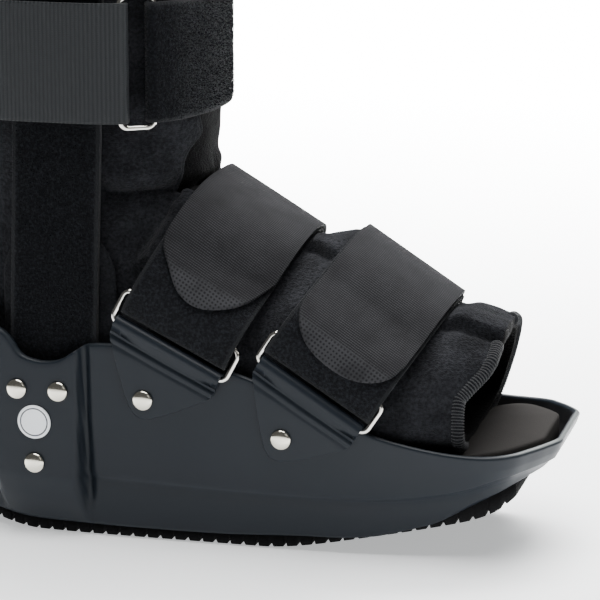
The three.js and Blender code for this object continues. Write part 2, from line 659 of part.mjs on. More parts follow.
// Centre line of the lower layer from one ring to the top, drawn out to a reach at the ring
const PILE_OFFSET = CLEAR + PILE_THICK / 2;
const LAYER_GAP = PILE_THICK / 2 + SLACK + WEB_THICK / 2;

function flank(strap, c, offset, reach, lift) {
  const { rise } = ringBars(strap);
  const arch = strapArch(strap, c, offset);
  const drawn = (turn) => {
    const spot = arch(turn);
    const fade = 1 - THREE.MathUtils.smoothstep(spot.up, rise, rise + STRAP_BLEND);
    return { out: spot.out + fade * Math.max(reach - spot.out, 0), up: spot.up };
  };
  return (turn) => {
    const here = drawn(turn);
    const low = drawn(Math.max(turn - 0.02, 0.001));
    const high = drawn(Math.min(turn + 0.02, Math.PI / 2));
    const run = Math.hypot(high.out - low.out, high.up - low.up) || 1;
    return { out: here.out + lift * (high.up - low.up) / run, up: here.up - lift * (high.out - low.out) / run };
  };
}

// Turn at which a flank reaches a height above the fold
function turnAtHeight(spotAt, up) {
  let below = 0.001;
  let above = Math.PI / 2;
  for (let n = 0; n < 24; n += 1) {
    const middle = (below + above) / 2;
    if (spotAt(middle).up < up) below = middle;
    else above = middle;
  }
  return above;
}

function flankSpots(spotAt, endUp, steps) {
  const first = turnAtHeight(spotAt, endUp);
  return Array.from({ length: steps + 1 }, (_, k) => spotAt(THREE.MathUtils.lerp(first, Math.PI / 2, k / steps)));
}

// Path across the foot: one flank to the near side, the other to the far side
function overFoot(near, nearEnd, far, farEnd) {
  const nearSpots = flankSpots(near, nearEnd, ARCH_STEPS / 2).map((spot) => ({ ...spot, out: -spot.out }));
  const farSpots = flankSpots(far, farEnd, ARCH_STEPS / 2).reverse().slice(1);
  return [...nearSpots, ...farSpots];
}

// Lower layer: from the near ring over the foot to the inside of the far ring
function pileGrid(strap) {
  return [-0.5, 0, 0.5].map((share) => {
    const c = share * STRAP_WIDTH;
    const { frame, rise, high } = ringBars(strap);
    const radius = WIRE / 2 + SLACK + PILE_THICK / 2;
    const hook = turnRound(high(c), rise, radius, -175, 0, 4).map((spot) => ({ ...spot, out: -spot.out }));
    const near = flank(strap, c, PILE_OFFSET, high(c) + radius, 0);
    const far = flank(strap, c, PILE_OFFSET, high(c) - radius, 0);
    return [...hook, ...overFoot(near, rise + 1.5, far, rise - 1)].map((spot) => frame.at(c, spot.out, spot.up));
  });
}

// Upper layer: back from the far ring over the foot, with a round tip on the near side
function webGrid(strap) {
  const columns = 6;
  return Array.from({ length: columns + 1 }, (_, j) => {
    const share = Math.sin((j / columns - 0.5) * Math.PI) / 2;
    const c = share * STRAP_WIDTH;
    const { frame, rise, high } = ringBars(strap);
    const radius = WIRE / 2 + SLACK + WEB_THICK / 2;
    const tip = rise + strap.tip * RING_HEIGHT + TIP_DEPTH * (1 - Math.sqrt(Math.max(1 - (1.99 * share) ** 2, 0)));
    const hook = turnRound(high(c), rise, radius, -80, 0, 4).reverse();
    const near = flank(strap, c, PILE_OFFSET, high(c) + WIRE / 2 + SLACK + PILE_THICK / 2, LAYER_GAP);
    const far = flank(strap, c, PILE_OFFSET + LAYER_GAP, high(c) + radius, 0);
    return [...overFoot(near, tip, far, rise + 1.5), ...hook].map((spot) => frame.at(c, spot.out, spot.up));
  });
}

// Leg strap: level bands round the bootie and the stays
function legSpot(turn, offset) {
  const a = LEG_HALF_DEPTH + offset;
  const b = LEG_HALF_WIDTH + offset;
  return { x: LEG_CENTRE + a * power(Math.cos(turn), 2 / LEG_ROUNDNESS), y: b * power(Math.sin(turn), 2 / LEG_ROUNDNESS) };
}

function legBand(spots) {
  return [0, 1].map((share) => spots.map((p) => new THREE.Vector3(p.x, p.y, LEG_STRAP_BOTTOM + share * STRAP_WIDTH)));
}

// Hook of a band round an upright bar of the leg ring
function legHook(turn, offset, thickness, way) {
  const here = legSpot(turn, offset);
  const ahead = legSpot(turn + 0.01 * way, offset);
  const run = new THREE.Vector2(ahead.x - here.x, ahead.y - here.y).normalize();
  const out = new THREE.Vector2(here.x, here.y).normalize();
  out.addScaledVector(run, -out.dot(run)).normalize();
  const radius = WIRE / 2 + SLACK + thickness / 2;
  return turnRound(0, 0, radius, -80, 90, 5).map((spot) => ({
    x: here.x + run.x * spot.out + out.x * spot.up, y: here.y + run.y * spot.out + out.y * spot.up }));
}

const RING_TURNS = LEG_RING.map((degrees) => THREE.MathUtils.degToRad(degrees));

function legRingGeometry() {
  const [rearTurn, frontTurn] = RING_TURNS;
  const rear = legSpot(rearTurn, LEG_RING_LIFT);
  const front = legSpot(frontTurn, LEG_RING_LIFT);
  const middle = { x: (rear.x + front.x) / 2, y: (rear.y + front.y) / 2 };
  const run = new THREE.Vector2(front.x - rear.x, front.y - rear.y);
  const length = run.length();
  run.normalize();
  const place = (across, up) => new THREE.Vector3(
    middle.x + run.x * up, middle.y + run.y * up, LEG_STRAP_BOTTOM + STRAP_WIDTH / 2 + across);
  return roundBar(ringPath(RING_CORNER, RING_LENGTH, length + WIRE, place), WIRE / 2, 6, true);
}

function bandSpots(fromTurn, toTurn, steps, offsetAt) {
  return Array.from({ length: steps + 1 }, (_, k) => {
    const turn = THREE.MathUtils.lerp(fromTurn, toTurn, k / steps);
    return legSpot(turn, offsetAt(turn));
  });
}

// Rolled, overlocked edges of the two flaps along the open toe
function toeEdge(side) {
  const section = sections[0];
  const radius = EDGE_ROLL / 2;
  const run = new THREE.Vector3().subVectors(section.front, section.back).normalize();
  const ahead = new THREE.Vector3(run.z, 0, -run.x).multiplyScalar(radius + SLACK);
  const ring = linerRing(section, radius, EDGE_STEPS * 2);
  const spots = ring.slice(EDGE_FIRST, EDGE_STEPS).map((spot) => spot.clone().add(ahead));
  spots.forEach((spot) => spot.setY(side * Math.abs(spot.y)));
  return roundBar(new THREE.CatmullRomCurve3(spots).getSpacedPoints(14), radius, 6, false);
}

[['near', -1], ['far', 1]].forEach(([name, side]) => {
  addPiece(`liner_toe_edge_${name}`, toeEdge(side), '#2a2b30', 1);
  addPiece(`upright_${name}`, standingPiece(stayRows, UPRIGHT_THICK, side, 2), '#17181b', 1);
  addPiece(`ankle_pad_${name}`, standingPiece(padRows, PAD_THICK, side, 2), '#222327', 1);
  FOOT_STRAPS.forEach((strap, n) => {
    addPiece(`strap_tab_${name}_${n + 1}`, thickSheet(tabGrid(strap, side), TAB_SHEET), '#363a41', 0.5);
    addPiece(`foot_ring_${name}_${n + 1}`, footRing(strap, side), '#c8c2b6', 0.2, 1);
  });
});
FOOT_STRAPS.forEach((strap, n) => {
  addPiece(`foot_strap_${n + 1}_pile`, thickSheet(pileGrid(strap), PILE_THICK), '#15171a', 1);
  addPiece(`foot_strap_${n + 1}_web`, thickSheet(webGrid(strap), WEB_THICK), '#3b3b3d', 0.8);
});

// Rear band of webbing: from the near ring round the back, its tip over the pile band
const [RING_REAR, RING_FRONT] = RING_TURNS;
const WRAP_START = THREE.MathUtils.degToRad(LEG_WRAP[0]);
const WRAP_END = THREE.MathUtils.degToRad(LEG_WRAP[1]);
const webSpots = [
  ...legHook(RING_REAR, LEG_RING_LIFT, WEB_THICK, 1),
  ...bandSpots(RING_REAR - 0.09, WRAP_END - 2 * Math.PI, 34, (turn) => {
    const over = turn + 2 * Math.PI;
    const climb = 1 - THREE.MathUtils.smoothstep(over, WRAP_START, WRAP_START + 0.35);
    const near = THREE.MathUtils.smoothstep(turn, RING_REAR - 0.5, RING_REAR - 0.1);
    return climb * LAYER_GAP + near * (LEG_RING_LIFT + WIRE / 2 + SLACK);
  }),
];
addPiece('leg_ring', legRingGeometry(), '#c8c2b6', 0.2, 1);
addPiece('leg_strap_web', thickSheet(legBand(webSpots), WEB_THICK), '#2f353c', 0.7);

// Front band of loop pile: from the near ring round the front to the far side
const pileSpots = [
  ...legHook(RING_FRONT, LEG_RING_LIFT, PILE_THICK, -1),
  ...bandSpots(RING_FRONT + 0.1, WRAP_START, 26, (turn) => {
    const near = 1 - THREE.MathUtils.smoothstep(turn, RING_FRONT + 0.1, RING_FRONT + 0.5);
    return near * (LEG_RING_LIFT + WIRE / 2 + SLACK);
  }),
];
addPiece('leg_strap_pile', thickSheet(legBand(pileSpots), PILE_THICK), '#15171a', 1);

// Domed rivets and the label disc, seated on the face that a ray from outside meets
function seatOn(pieces, x, z, side) {
  const hitAt = (dx, dz) => {
    raycaster.set(new THREE.Vector3(x + dx, side * SHELL_WIDTH, z + dz), new THREE.Vector3(0, -side, 0));
    return raycaster.intersectObjects(pieces)[0].point;
  };
  const reach = RIVET_DIAMETER / 3;
  const across = new THREE.Vector3().subVectors(hitAt(reach, 0), hitAt(-reach, 0));
  const upward = new THREE.Vector3().subVectors(hitAt(0, reach), hitAt(0, -reach));
  const normal = across.cross(upward).normalize();
  if (normal.y * side < 0) normal.negate();
  return { point: hitAt(0, 0), normal };
}

function seatPiece(name, geometry, seat, lift, colour, roughness, metalness) {
  const mesh = addPiece(name, geometry, colour, roughness, metalness);
  mesh.quaternion.setFromUnitVectors(new THREE.Vector3(0, 0, 1), seat.normal);
  mesh.position.copy(seat.point).addScaledVector(seat.normal, lift);
}

function rivetGeometry() {
  const steps = 3;
  const dome = Array.from({ length: steps + 1 }, (_, k) => {
    const turn = (k / steps) * Math.PI / 2;
    return new THREE.Vector2(RIVET_DIAMETER / 2 * Math.cos(turn), RIVET_DOME * (0.15 + 0.85 * Math.sin(turn)));
  });
  dome[steps].x = 0;
  const profileSpots = [new THREE.Vector2(0, 0), new THREE.Vector2(RIVET_DIAMETER / 2, 0), ...dome];
  return new THREE.LatheGeometry(profileSpots, 10).rotateX(Math.PI / 2);
}

[['near', -1], ['far', 1]].forEach(([name, side]) => {
  UPRIGHT_RIVETS.forEach((row, n) => {
    const seat = seatOn([shell], along(row.along), row.up * RIM_HEIGHT, side);
    seatPiece(`upright_rivet_${name}_${n + 1}`, rivetGeometry(), seat, CLEAR, '#c8c2b6', 0.2, 1);
  });
  FOOT_STRAPS.forEach((strap, n) => {
    const spot = strapFrame(strap).at(0, 0, -strap.rivet * TAB_DEPTH);
    const tab = group.getObjectByName(`strap_tab_${name}_${n + 1}`);
    const seat = seatOn([tab], spot.x, spot.z, side);
    seatPiece(`tab_rivet_${name}_${n + 1}`, rivetGeometry(), seat, CLEAR, '#c8c2b6', 0.2, 1);
  });
});
const labelSeat = seatOn([shell], along(LABEL.along), LABEL.up * RIM_HEIGHT, -1);
const labelDisc = new THREE.CylinderGeometry(LABEL_DIAMETER / 2, LABEL_DIAMETER / 2, LABEL_THICK, 24);
labelDisc.rotateX(Math.PI / 2);
seatPiece('size_label', labelDisc, labelSeat, LABEL_THICK / 2 + CLEAR, '#e6eaee', 0.4, 0);

// Stand the boot on the middle of its own plan
group.position.x = -(along(0) + along(1)) / 2;

export default group;
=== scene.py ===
# Looks of a short walking boot on a pale studio floor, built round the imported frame
import math
import bmesh
import bpy
import numpy as np
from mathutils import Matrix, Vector, noise
from mathutils.bvhtree import BVHTree


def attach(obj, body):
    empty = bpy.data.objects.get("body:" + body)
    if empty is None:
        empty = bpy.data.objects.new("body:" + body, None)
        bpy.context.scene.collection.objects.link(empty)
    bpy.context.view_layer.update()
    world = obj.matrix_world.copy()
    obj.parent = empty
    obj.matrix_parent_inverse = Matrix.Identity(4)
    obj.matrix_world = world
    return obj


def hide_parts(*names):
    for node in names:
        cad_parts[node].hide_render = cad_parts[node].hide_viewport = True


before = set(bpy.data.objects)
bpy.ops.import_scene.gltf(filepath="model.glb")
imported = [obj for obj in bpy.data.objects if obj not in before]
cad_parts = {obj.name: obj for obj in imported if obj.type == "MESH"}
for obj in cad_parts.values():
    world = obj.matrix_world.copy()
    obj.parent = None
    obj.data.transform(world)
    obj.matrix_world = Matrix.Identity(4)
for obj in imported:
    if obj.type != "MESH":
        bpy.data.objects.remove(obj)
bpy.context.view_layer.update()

# Camera: a long lens from the near side, a little ahead of the boot and above it.
# It stands 1.2 m off and looks down 13 degrees at the middle of the picture.
yaw, pitch, away = math.radians(14.5), math.radians(13.0), 1.2
target = Vector((0.03653, -0.040, 0.10901))
back = Vector((math.sin(yaw) * math.cos(pitch), -math.cos(yaw) * math.cos(pitch), math.sin(pitch)))
camera = bpy.data.objects.new("camera", bpy.data.cameras.new("camera"))
camera.data.sensor_width = 36
camera.data.lens = 169.92
camera.data.clip_start, camera.data.clip_end = 0.05, 20
camera.location = target + back * away
camera.rotation_mode = "QUATERNION"
camera.rotation_quaternion = (-back).to_track_quat("-Z", "Y")
bpy.context.scene.collection.objects.link(camera)
bpy.context.scene.camera = camera


# Light: a white studio with a large soft box overhead and a weak one in front on the right.
# A strong one behind washes out the sheet and draws the edges of the straps.
def soft_box(name, place, aim, size, power, spread=180):
    lamp = bpy.data.lights.new(name, "AREA")
    lamp.shape = "RECTANGLE"
    lamp.size, lamp.size_y = size
    lamp.energy = power
    lamp.spread = math.radians(spread)
    obj = bpy.data.objects.new(name, lamp)
    obj.location = place
    obj.rotation_mode = "QUATERNION"
    obj.rotation_quaternion = (Vector(aim) - Vector(place)).to_track_quat("-Z", "Y")
    bpy.context.scene.collection.objects.link(obj)


soft_box("lamp_over", (0.1, 0, 1.5), (0.05, 0, 0.05), (1.6, 1.2), 50)
soft_box("lamp_front", (1.2, -1.4, 0.9), (0.05, 0, 0.1), (0.8, 0.8), 1.3)
soft_box("lamp_back", (0.3, 2.0, 1.6), (0.3, 1.75, 0), (3.2, 2.2), 420, 75)
world = bpy.data.worlds.new("studio")
world.use_nodes = True
world.node_tree.nodes["Background"].inputs["Color"].default_value = (1, 1, 1, 1)
world.node_tree.nodes["Background"].inputs["Strength"].default_value = 0.1
bpy.context.scene.world = world


# Shell: one injection-moulded tray of satin slate plastic, a thick rocker sole with thin walls.
# Its wall rises round the heel and drops to a low open lip at the toe; a flat panel stands
# proud where the stay is riveted, and a crease parts the wall from the darker sole skirt.
def profile(rows):
    a, u = np.array(rows, float).T
    before = np.maximum(np.arange(len(a)) - 1, 0)
    after = np.minimum(np.arange(len(a)) + 1, len(a) - 1)
    slope = (u[after] - u[before]) / (a[after] - a[before])

    def at(share):
        s = np.clip(np.asarray(share, float), 0, 1)
        i = np.maximum(np.searchsorted(a, s, side="left") - 1, 0)
        n = np.minimum(i + 1, len(a) - 1)
        span = a[n] - a[i]
        t = np.minimum((s - a[i]) / span, 1)
        rise = u[n] - u[i]
        bend = (1 - t) * (slope[i] * span - rise) - t * (slope[n] * span - rise)
        return u[i] + rise * t + t * (1 - t) * bend

    return at


def spline(points, steps, closed=False):
    """Even steps along a smooth line through the points."""
    p = np.array(points, float)
    ends = (p[-1:], p[:2]) if closed else (2 * p[:1] - p[1:2], 2 * p[-1:] - p[-2:-1])
    q = np.vstack((ends[0], p, ends[1]))
    fine = []
    for i in range(1, len(q) - 2):
        p0, p1, p2, p3 = q[i - 1:i + 3]
        d0, d1, d2 = (max(np.linalg.norm(b - a) ** 0.5, 1e-4) for a, b in ((p0, p1), (p1, p2), (p2, p3)))
        m1 = ((p1 - p0) / d0 - (p2 - p0) / (d0 + d1) + (p2 - p1) / d1) * d1
        m2 = ((p2 - p1) / d1 - (p3 - p1) / (d1 + d2) + (p3 - p2) / d2) * d1
        t = np.linspace(0, 1, 40, endpoint=False)[:, None]
        curve = (3 * (p2 - p1) - 2 * m1 - m2) * t ** 2 + (2 * (p1 - p2) + m1 + m2) * t ** 3
        fine.append(p1 + m1 * t + curve)
    fine.append(q[-2:-1])
    return even(np.vstack(fine), steps)


def even(line, steps):
    """The same line cut at even steps."""
    run = np.concatenate(([0], np.cumsum(np.linalg.norm(np.diff(line, axis=0), axis=1))))
    at = np.linspace(0, run[-1], steps + 1)
    return np.stack([np.interp(at, run, line[:, k]) for k in range(line.shape[1])], axis=1)


def smooth(value, low, high):
    t = np.clip((value - low) / (high - low), 0, 1)
    return t * t * (3 - 2 * t)


def along(share):
    return (np.asarray(share) - UPRIGHT_SHARE) * LENGTH


def metres(points):
    """From the part's own millimetres to the row frame."""
    return (np.asarray(points, float) + (SHIFT, 0, 0)) / 1000


LENGTH, WIDTH, RIM_UP, WALL, UPRIGHT_SHARE = 295.0, 114.0, 104.0, 3.0, 0.268
SHIFT = -(0.5 - UPRIGHT_SHARE) * LENGTH
SIDE_TAPER, TOE_TAPER, HEEL_TAPER = 9.0, 8.5, 11.0
PANEL = {"bulge": 3.0, "width": 42.2, "edge": 2.0, "setback": 8.8, "taper": 0.2}
# share of the length, share of the half width
PLAN = [(0, 0), (0.013, 0.34), (0.05, 0.635), (0.11, 0.845), (0.17, 0.945), (0.25, 0.99), (0.5, 0.99),
        (0.66, 0.975), (0.82, 0.94), (0.91, 0.91), (0.944, 0.83), (0.966, 0.7), (0.985, 0.56),
        (1, 0.4), (1, 0)]
# share of the length, share of each line's own height
RIM = [(0, 1), (0.09, 0.985), (0.15, 0.95), (0.186, 0.9), (0.2, 0.865), (0.216, 0.8), (0.24, 0.773),
       (0.262, 0.771), (0.282, 0.785), (0.302, 0.822), (0.32, 0.848), (0.37, 0.853), (0.46, 0.812),
       (0.55, 0.753), (0.64, 0.65), (0.74, 0.532), (0.8, 0.488), (0.86, 0.463), (0.92, 0.46), (1, 0.483)]
SOLE = [(0, 0.72), (0.06, 0.42), (0.16, 0.2), (0.26, 0.16), (0.5, 0.15), (0.62, 0.21), (0.735, 0.34),
        (0.84, 0.575), (0.91, 0.83), (1, 1.1)]
CREASE = [(0, 0.9), (0.2, 0.745), (0.35, 0.69), (0.6, 0.64), (0.77, 0.655), (0.87, 0.77), (0.94, 0.93),
          (1, 1.02)]
FLOOR = [(0, 0.79), (0.6, 0.77), (0.82, 0.86), (1, 1)]
LINES = {"rim": (RIM_UP, profile(RIM)), "sole": (34.0, profile(SOLE)),
         "crease": (41.0, profile(CREASE)), "floor": (38.0, profile(FLOOR))}
# line below, line above, rise between them, share of the tapers, count of walls inward, share of the panel
LEVELS = [("sole", "crease", 0, 1, 0, 0), ("sole", "crease", 0.45, 0.8, 0, 0.45),
          ("sole", "crease", 0.93, 0.56, 0, 0.95), ("crease", "rim", 0.02, 0.42, 0, 1),
          ("crease", "rim", 0.5, 0.17, 0, 1), ("crease", "rim", 0.975, 0, 0, 1),
          ("floor", "rim", 0.975, 0, 1, 1), ("floor", "rim", 0.45, 0.2, 1, 1),
          ("floor", "rim", 0.06, 0.44, 1.1, 0.9), ("floor", "rim", 0, 0.6, 1.4, 0.6)]


def line_at(name, share):
    height, shape = LINES[name]
    return height * shape(share)


def plan_stations(steps):
    p = spline([(a * LENGTH, h * WIDTH / 2) for a, h in PLAN], steps)
    return np.clip(p[:, 0] / LENGTH, 0, 1), np.maximum(p[:, 1], 0) / (WIDTH / 2)


def panel_share(x):
    reach = PANEL["width"] / 2 - np.abs(x - along(UPRIGHT_SHARE) + PANEL["setback"])
    return smooth(reach, 0, PANEL["edge"])


def plan_ring(stations, inset, height, blend=0.0, panel_half=0.0):
    share, half = stations
    side, heel, toe = inset
    x = along(0) + heel + share * (LENGTH - heel - toe)
    plain = half * (WIDTH / 2 - side)
    mix = blend * panel_share(x)
    y = plain + (panel_half - plain) * mix
    z = height(share)
    far = np.stack((x, y, z), axis=1)
    near = np.stack((x, -y, z), axis=1)[1:-1][::-1]
    return np.vstack((far, near))


def level_ring(stations, row):
    low, high, rise, taper, inward, bulge = row
    inset = (taper * SIDE_TAPER + inward * WALL, taper * HEEL_TAPER + inward * WALL,
             taper * TOE_TAPER + inward * WALL)
    half = WIDTH / 2 + PANEL["bulge"] - inward * WALL - taper * SIDE_TAPER * PANEL["taper"]
    return plan_ring(stations, inset, lambda s: line_at(low, s) * (1 - rise) + line_at(high, s) * rise,
                     bulge, half)


def grid_mesh(name, rows, wrap=False, loop=False, caps=False, uv=True):
    """Quads over rows of points; wrap joins a row's ends, loop the last row to the first."""
    rows = np.asarray(rows, float)
    count, across = rows.shape[:2]
    j = np.arange(count if loop else count - 1)[:, None]
    i = np.arange(across if wrap else across - 1)[None, :]
    n, m = (j + 1) % count, (i + 1) % across
    corners = (j * across + i, j * across + m, n * across + m, n * across + i)
    quads = np.stack(np.broadcast_arrays(*corners), axis=-1)
    faces = quads.reshape(-1, 4).tolist()
    if caps:
        faces += [list(range(across))[::-1], [(count - 1) * across + k for k in range(across)]]
    mesh = bpy.data.meshes.new(name)
    mesh.from_pydata(rows.reshape(-1, 3).tolist(), [], faces)
    if uv:
        u = np.concatenate(([0], np.cumsum(np.linalg.norm(np.diff(rows, axis=1), axis=2).mean(axis=0))))
        v = np.concatenate(([0], np.cumsum(np.linalg.norm(np.diff(rows, axis=0), axis=2).mean(axis=1))))
        layer = mesh.uv_layers.new(name="flat")
        spots = np.zeros((len(mesh.loops), 2))
        index = np.zeros(len(mesh.loops), int)
        mesh.loops.foreach_get("vertex_index", index)
        spots[:, 0] = u[index % across]
        spots[:, 1] = v[index // across]
        layer.data.foreach_set("uv", spots.ravel())
    mesh.validate()
    mesh.shade_smooth()
    obj = bpy.data.objects.new(name, mesh)
    bpy.context.scene.collection.objects.link(obj)
    return obj


def outward(obj):
    """Turns all faces outward by the sign of the enclosed volume."""
    bm = bmesh.new()
    bm.from_mesh(obj.data)
    bmesh.ops.recalc_face_normals(bm, faces=bm.faces)
    if bm.calc_volume(signed=True) < 0:
        bmesh.ops.reverse_faces(bm, faces=bm.faces)
    bm.to_mesh(obj.data)
    bm.free()
    return obj


def settle(obj, material, slot, *nodes):
    """Gives a finished piece its material and ties it to the frame."""
    obj.data.materials.clear()
    obj.data.materials.append(material)
    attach(obj, "root")
    if nodes:
        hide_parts(*nodes)
    return obj


def put(tree, kind, inputs=None, **settings):
    """A shader node with its settings, its inputs linked or set."""
    made = tree.nodes.new(kind)
    for key, value in settings.items():
        setattr(made, key, value)
    for key, value in (inputs or {}).items():
        if isinstance(value, bpy.types.NodeSocket):
            tree.links.new(value, made.inputs[key])
        else:
            made.inputs[key].default_value = value
    return made


def surface(name, colour, roughness, **more):
    """A new material and its main shader, with constants on the shader's own sockets."""
    material = bpy.data.materials.new(name)
    material.use_nodes = True
    shader = material.node_tree.nodes["Principled BSDF"]
    shader.inputs["Base Color"].default_value = (*colour, 1)
    shader.inputs["Roughness"].default_value = roughness
    for key, value in more.items():
        shader.inputs[key.replace("_", " ")].default_value = value
    return material, material.node_tree, shader


def fine_rows(rows, steps, rounds):
    """Rings between the given ones, softened along the profile but not round the plan."""
    rows = np.array(rows)
    out = []
    for a, b, n in zip(rows[:-1], rows[1:], steps):
        for t in np.arange(n) / n:
            out.append(a + (b - a) * t)
    out.append(rows[-1])
    out = np.array(out)
    for _ in range(rounds):
        out[1:-1] = out[1:-1] * 0.5 + (out[:-2] + out[2:]) * 0.25
    return out


def attribute(obj, name, values):
    """A named mask on the vertices, read by the material."""
    made = obj.data.attributes.new(name, "FLOAT", "POINT")
    made.data.foreach_set("value", np.asarray(values, float).ravel())


def mixed(tree, factor, a, b):
    """Colour a to b by a mask; each may be a colour or a socket."""
    node = tree.nodes.new("ShaderNodeMix")
    node.data_type = "RGBA"
    for slot, value in ((0, factor), (6, a), (7, b)):
        if isinstance(value, bpy.types.NodeSocket):
            tree.links.new(value, node.inputs[slot])
        else:
            node.inputs[slot].default_value = value if slot == 0 else (*value, 1)
    return node.outputs[2]


def bumped(tree, height, strength, distance):
    made = put(tree, "ShaderNodeBump", {"Height": height, "Strength": strength, "Distance": distance})
    return made.outputs["Normal"]


def noise_map(tree, spot, scale, detail):
    return put(tree, "ShaderNodeTexNoise", {"Vector": spot, "Scale": scale, "Detail": detail}).outputs["Fac"]


def wave_map(tree, spot, scale, way, **more):
    inputs = {"Vector": spot, "Scale": scale, **{key.replace("_", " "): value for key, value in more.items()}}
    return put(tree, "ShaderNodeTexWave", inputs, bands_direction=way).outputs["Fac"]


def mask(tree, name):
    return put(tree, "ShaderNodeAttribute", attribute_name=name).outputs["Fac"]


def shader_group(name, inputs, outputs):
    """A new node group with number inputs; its tree, given numbers and results."""
    tree = bpy.data.node_groups.new(name, "ShaderNodeTree")
    for label, value in inputs.items():
        tree.interface.new_socket(label, in_out="INPUT", socket_type="NodeSocketFloat").default_value = value
    for label, kind in outputs.items():
        tree.interface.new_socket(label, in_out="OUTPUT", socket_type=f"NodeSocket{kind}")
    return tree, tree.nodes.new("NodeGroupInput").outputs, tree.nodes.new("NodeGroupOutput").inputs


def ray_tree(obj):
    mesh = obj.data
    return BVHTree.FromPolygons([v.co for v in mesh.vertices], [tuple(p.vertices) for p in mesh.polygons])


grain, given, result = shader_group("grain", {"Scale": 1500.0, "Detail": 2.0, "Strength": 0.3,
                                              "Distance": 0.0004}, {"Normal": "Vector"})
spot = put(grain, "ShaderNodeTexCoord").outputs["Object"]
cells = noise_map(grain, spot, given["Scale"], given["Detail"])
grain.links.new(bumped(grain, cells, given["Strength"], given["Distance"]), result["Normal"])


def grained(tree, shader, scale, detail, strength, distance):
    """Fine moulded grain in the shader's normal."""
    numbers = {"Scale": scale, "Detail": detail, "Strength": strength, "Distance": distance}
    made = put(tree, "ShaderNodeGroup", numbers, node_tree=grain)
    tree.links.new(made.outputs["Normal"], shader.inputs["Normal"])


stations = plan_stations(300)
outer = fine_rows([level_ring(stations, row) for row in LEVELS[:6]], (6, 6, 3, 10, 10), 1)
inner = fine_rows([level_ring(stations, row) for row in LEVELS[6:]], (8, 5, 2), 1)
# the panel ends at an upright groove that opens downward, and a soft step runs under the crease
GROOVE = {"deep": 2.7, "at": 12.6, "lean": 0.012}
STEP = {"deep": 0.9, "under": 2.2}
SKIRT_DROP = 4.0
x, z = outer[:, :, 0], outer[:, :, 2].copy()
spread = 1.7 + 0.9 * (1 - smooth(z, 20, 60))
cut = GROOVE["deep"] * np.exp(-((x - GROOVE["at"] - GROOVE["lean"] * z) / spread) ** 2)
cut = cut * smooth(z, 10, 24) * (1 - smooth(z, 84, 92))
below = z - line_at("crease", x / LENGTH + UPRIGHT_SHARE)
cut += STEP["deep"] * np.exp(-((below + STEP["under"]) / STEP["under"]) ** 2) * smooth(x, 10, 18)
outer[:, :, 1] -= np.sign(outer[:, :, 1]) * cut
# the skirt reaches down over the side of the tread behind the toe
drop = SKIRT_DROP * smooth(x, along(0.58), along(0.76)) * (1 - smooth(x, along(0.9), along(0.97)))
outer[:, :, 2] -= drop * (1 - smooth(below, -9, -1))
rolls = []
for turn in np.linspace(0, math.pi, 9)[1:-1]:
    share = (1 - math.cos(turn)) / 2
    ring = outer[-1] * (1 - share) + inner[0] * share
    ring[:, 2] += math.sin(turn) * WALL / 2
    rolls.append(ring)
shell_rings = np.vstack((outer, rolls, inner))
shell = grid_mesh("shell_body", metres(shell_rings), wrap=True, caps=True)
outward(shell)
# painted highlight: the rounded top of the rim is painted light grey, faintly along the sides and fully at
# the toe lip, where light catches it
rim_highlight = np.zeros(shell_rings.shape[:2])
toe_lip = smooth(shell_rings[0, :, 0], along(0.9), along(0.95))
rim_highlight[len(outer) + 1:len(outer) + 4] = 0.06 + 0.94 * toe_lip
attribute(shell, "rim", rim_highlight)
inside = np.zeros(shell_rings.shape[:2])
inside[len(outer) + len(rolls):] = 1
attribute(shell, "inside", inside)
shell_tree = ray_tree(shell)


def wall_at(x, z):
    """Half width of the shell's outer face, in the part's millimetres."""
    level = min(z, float(line_at("rim", x / LENGTH + UPRIGHT_SHARE)) - WALL)
    hit = shell_tree.ray_cast(Vector(metres((x, -WIDTH, level))), Vector((0, 1, 0)))[0]
    return -hit.y * 1000 if hit else WIDTH / 2


plastic, tree, shader = surface("slate_plastic", (0.023, 0.026, 0.031), 0.38, Specular_IOR_Level=0.18)
grained(tree, shader, 2600.0, 2.0, 0.1, 0.0002)
spot = put(tree, "ShaderNodeTexCoord").outputs["Object"]
cloud = noise_map(tree, spot, 22.0, 3.0)
base = mixed(tree, cloud, (0.0080, 0.0112, 0.0158), (0.0108, 0.0140, 0.0188))
# painted highlight: light grey on the rim roll, by the rim mask
base = mixed(tree, mask(tree, "rim"), base, (0.13, 0.14, 0.14))
base = mixed(tree, mask(tree, "inside"), base, (0.012, 0.012, 0.013))
tree.links.new(base, shader.inputs["Base Color"])
settle(shell, plastic, "shell", "shell")


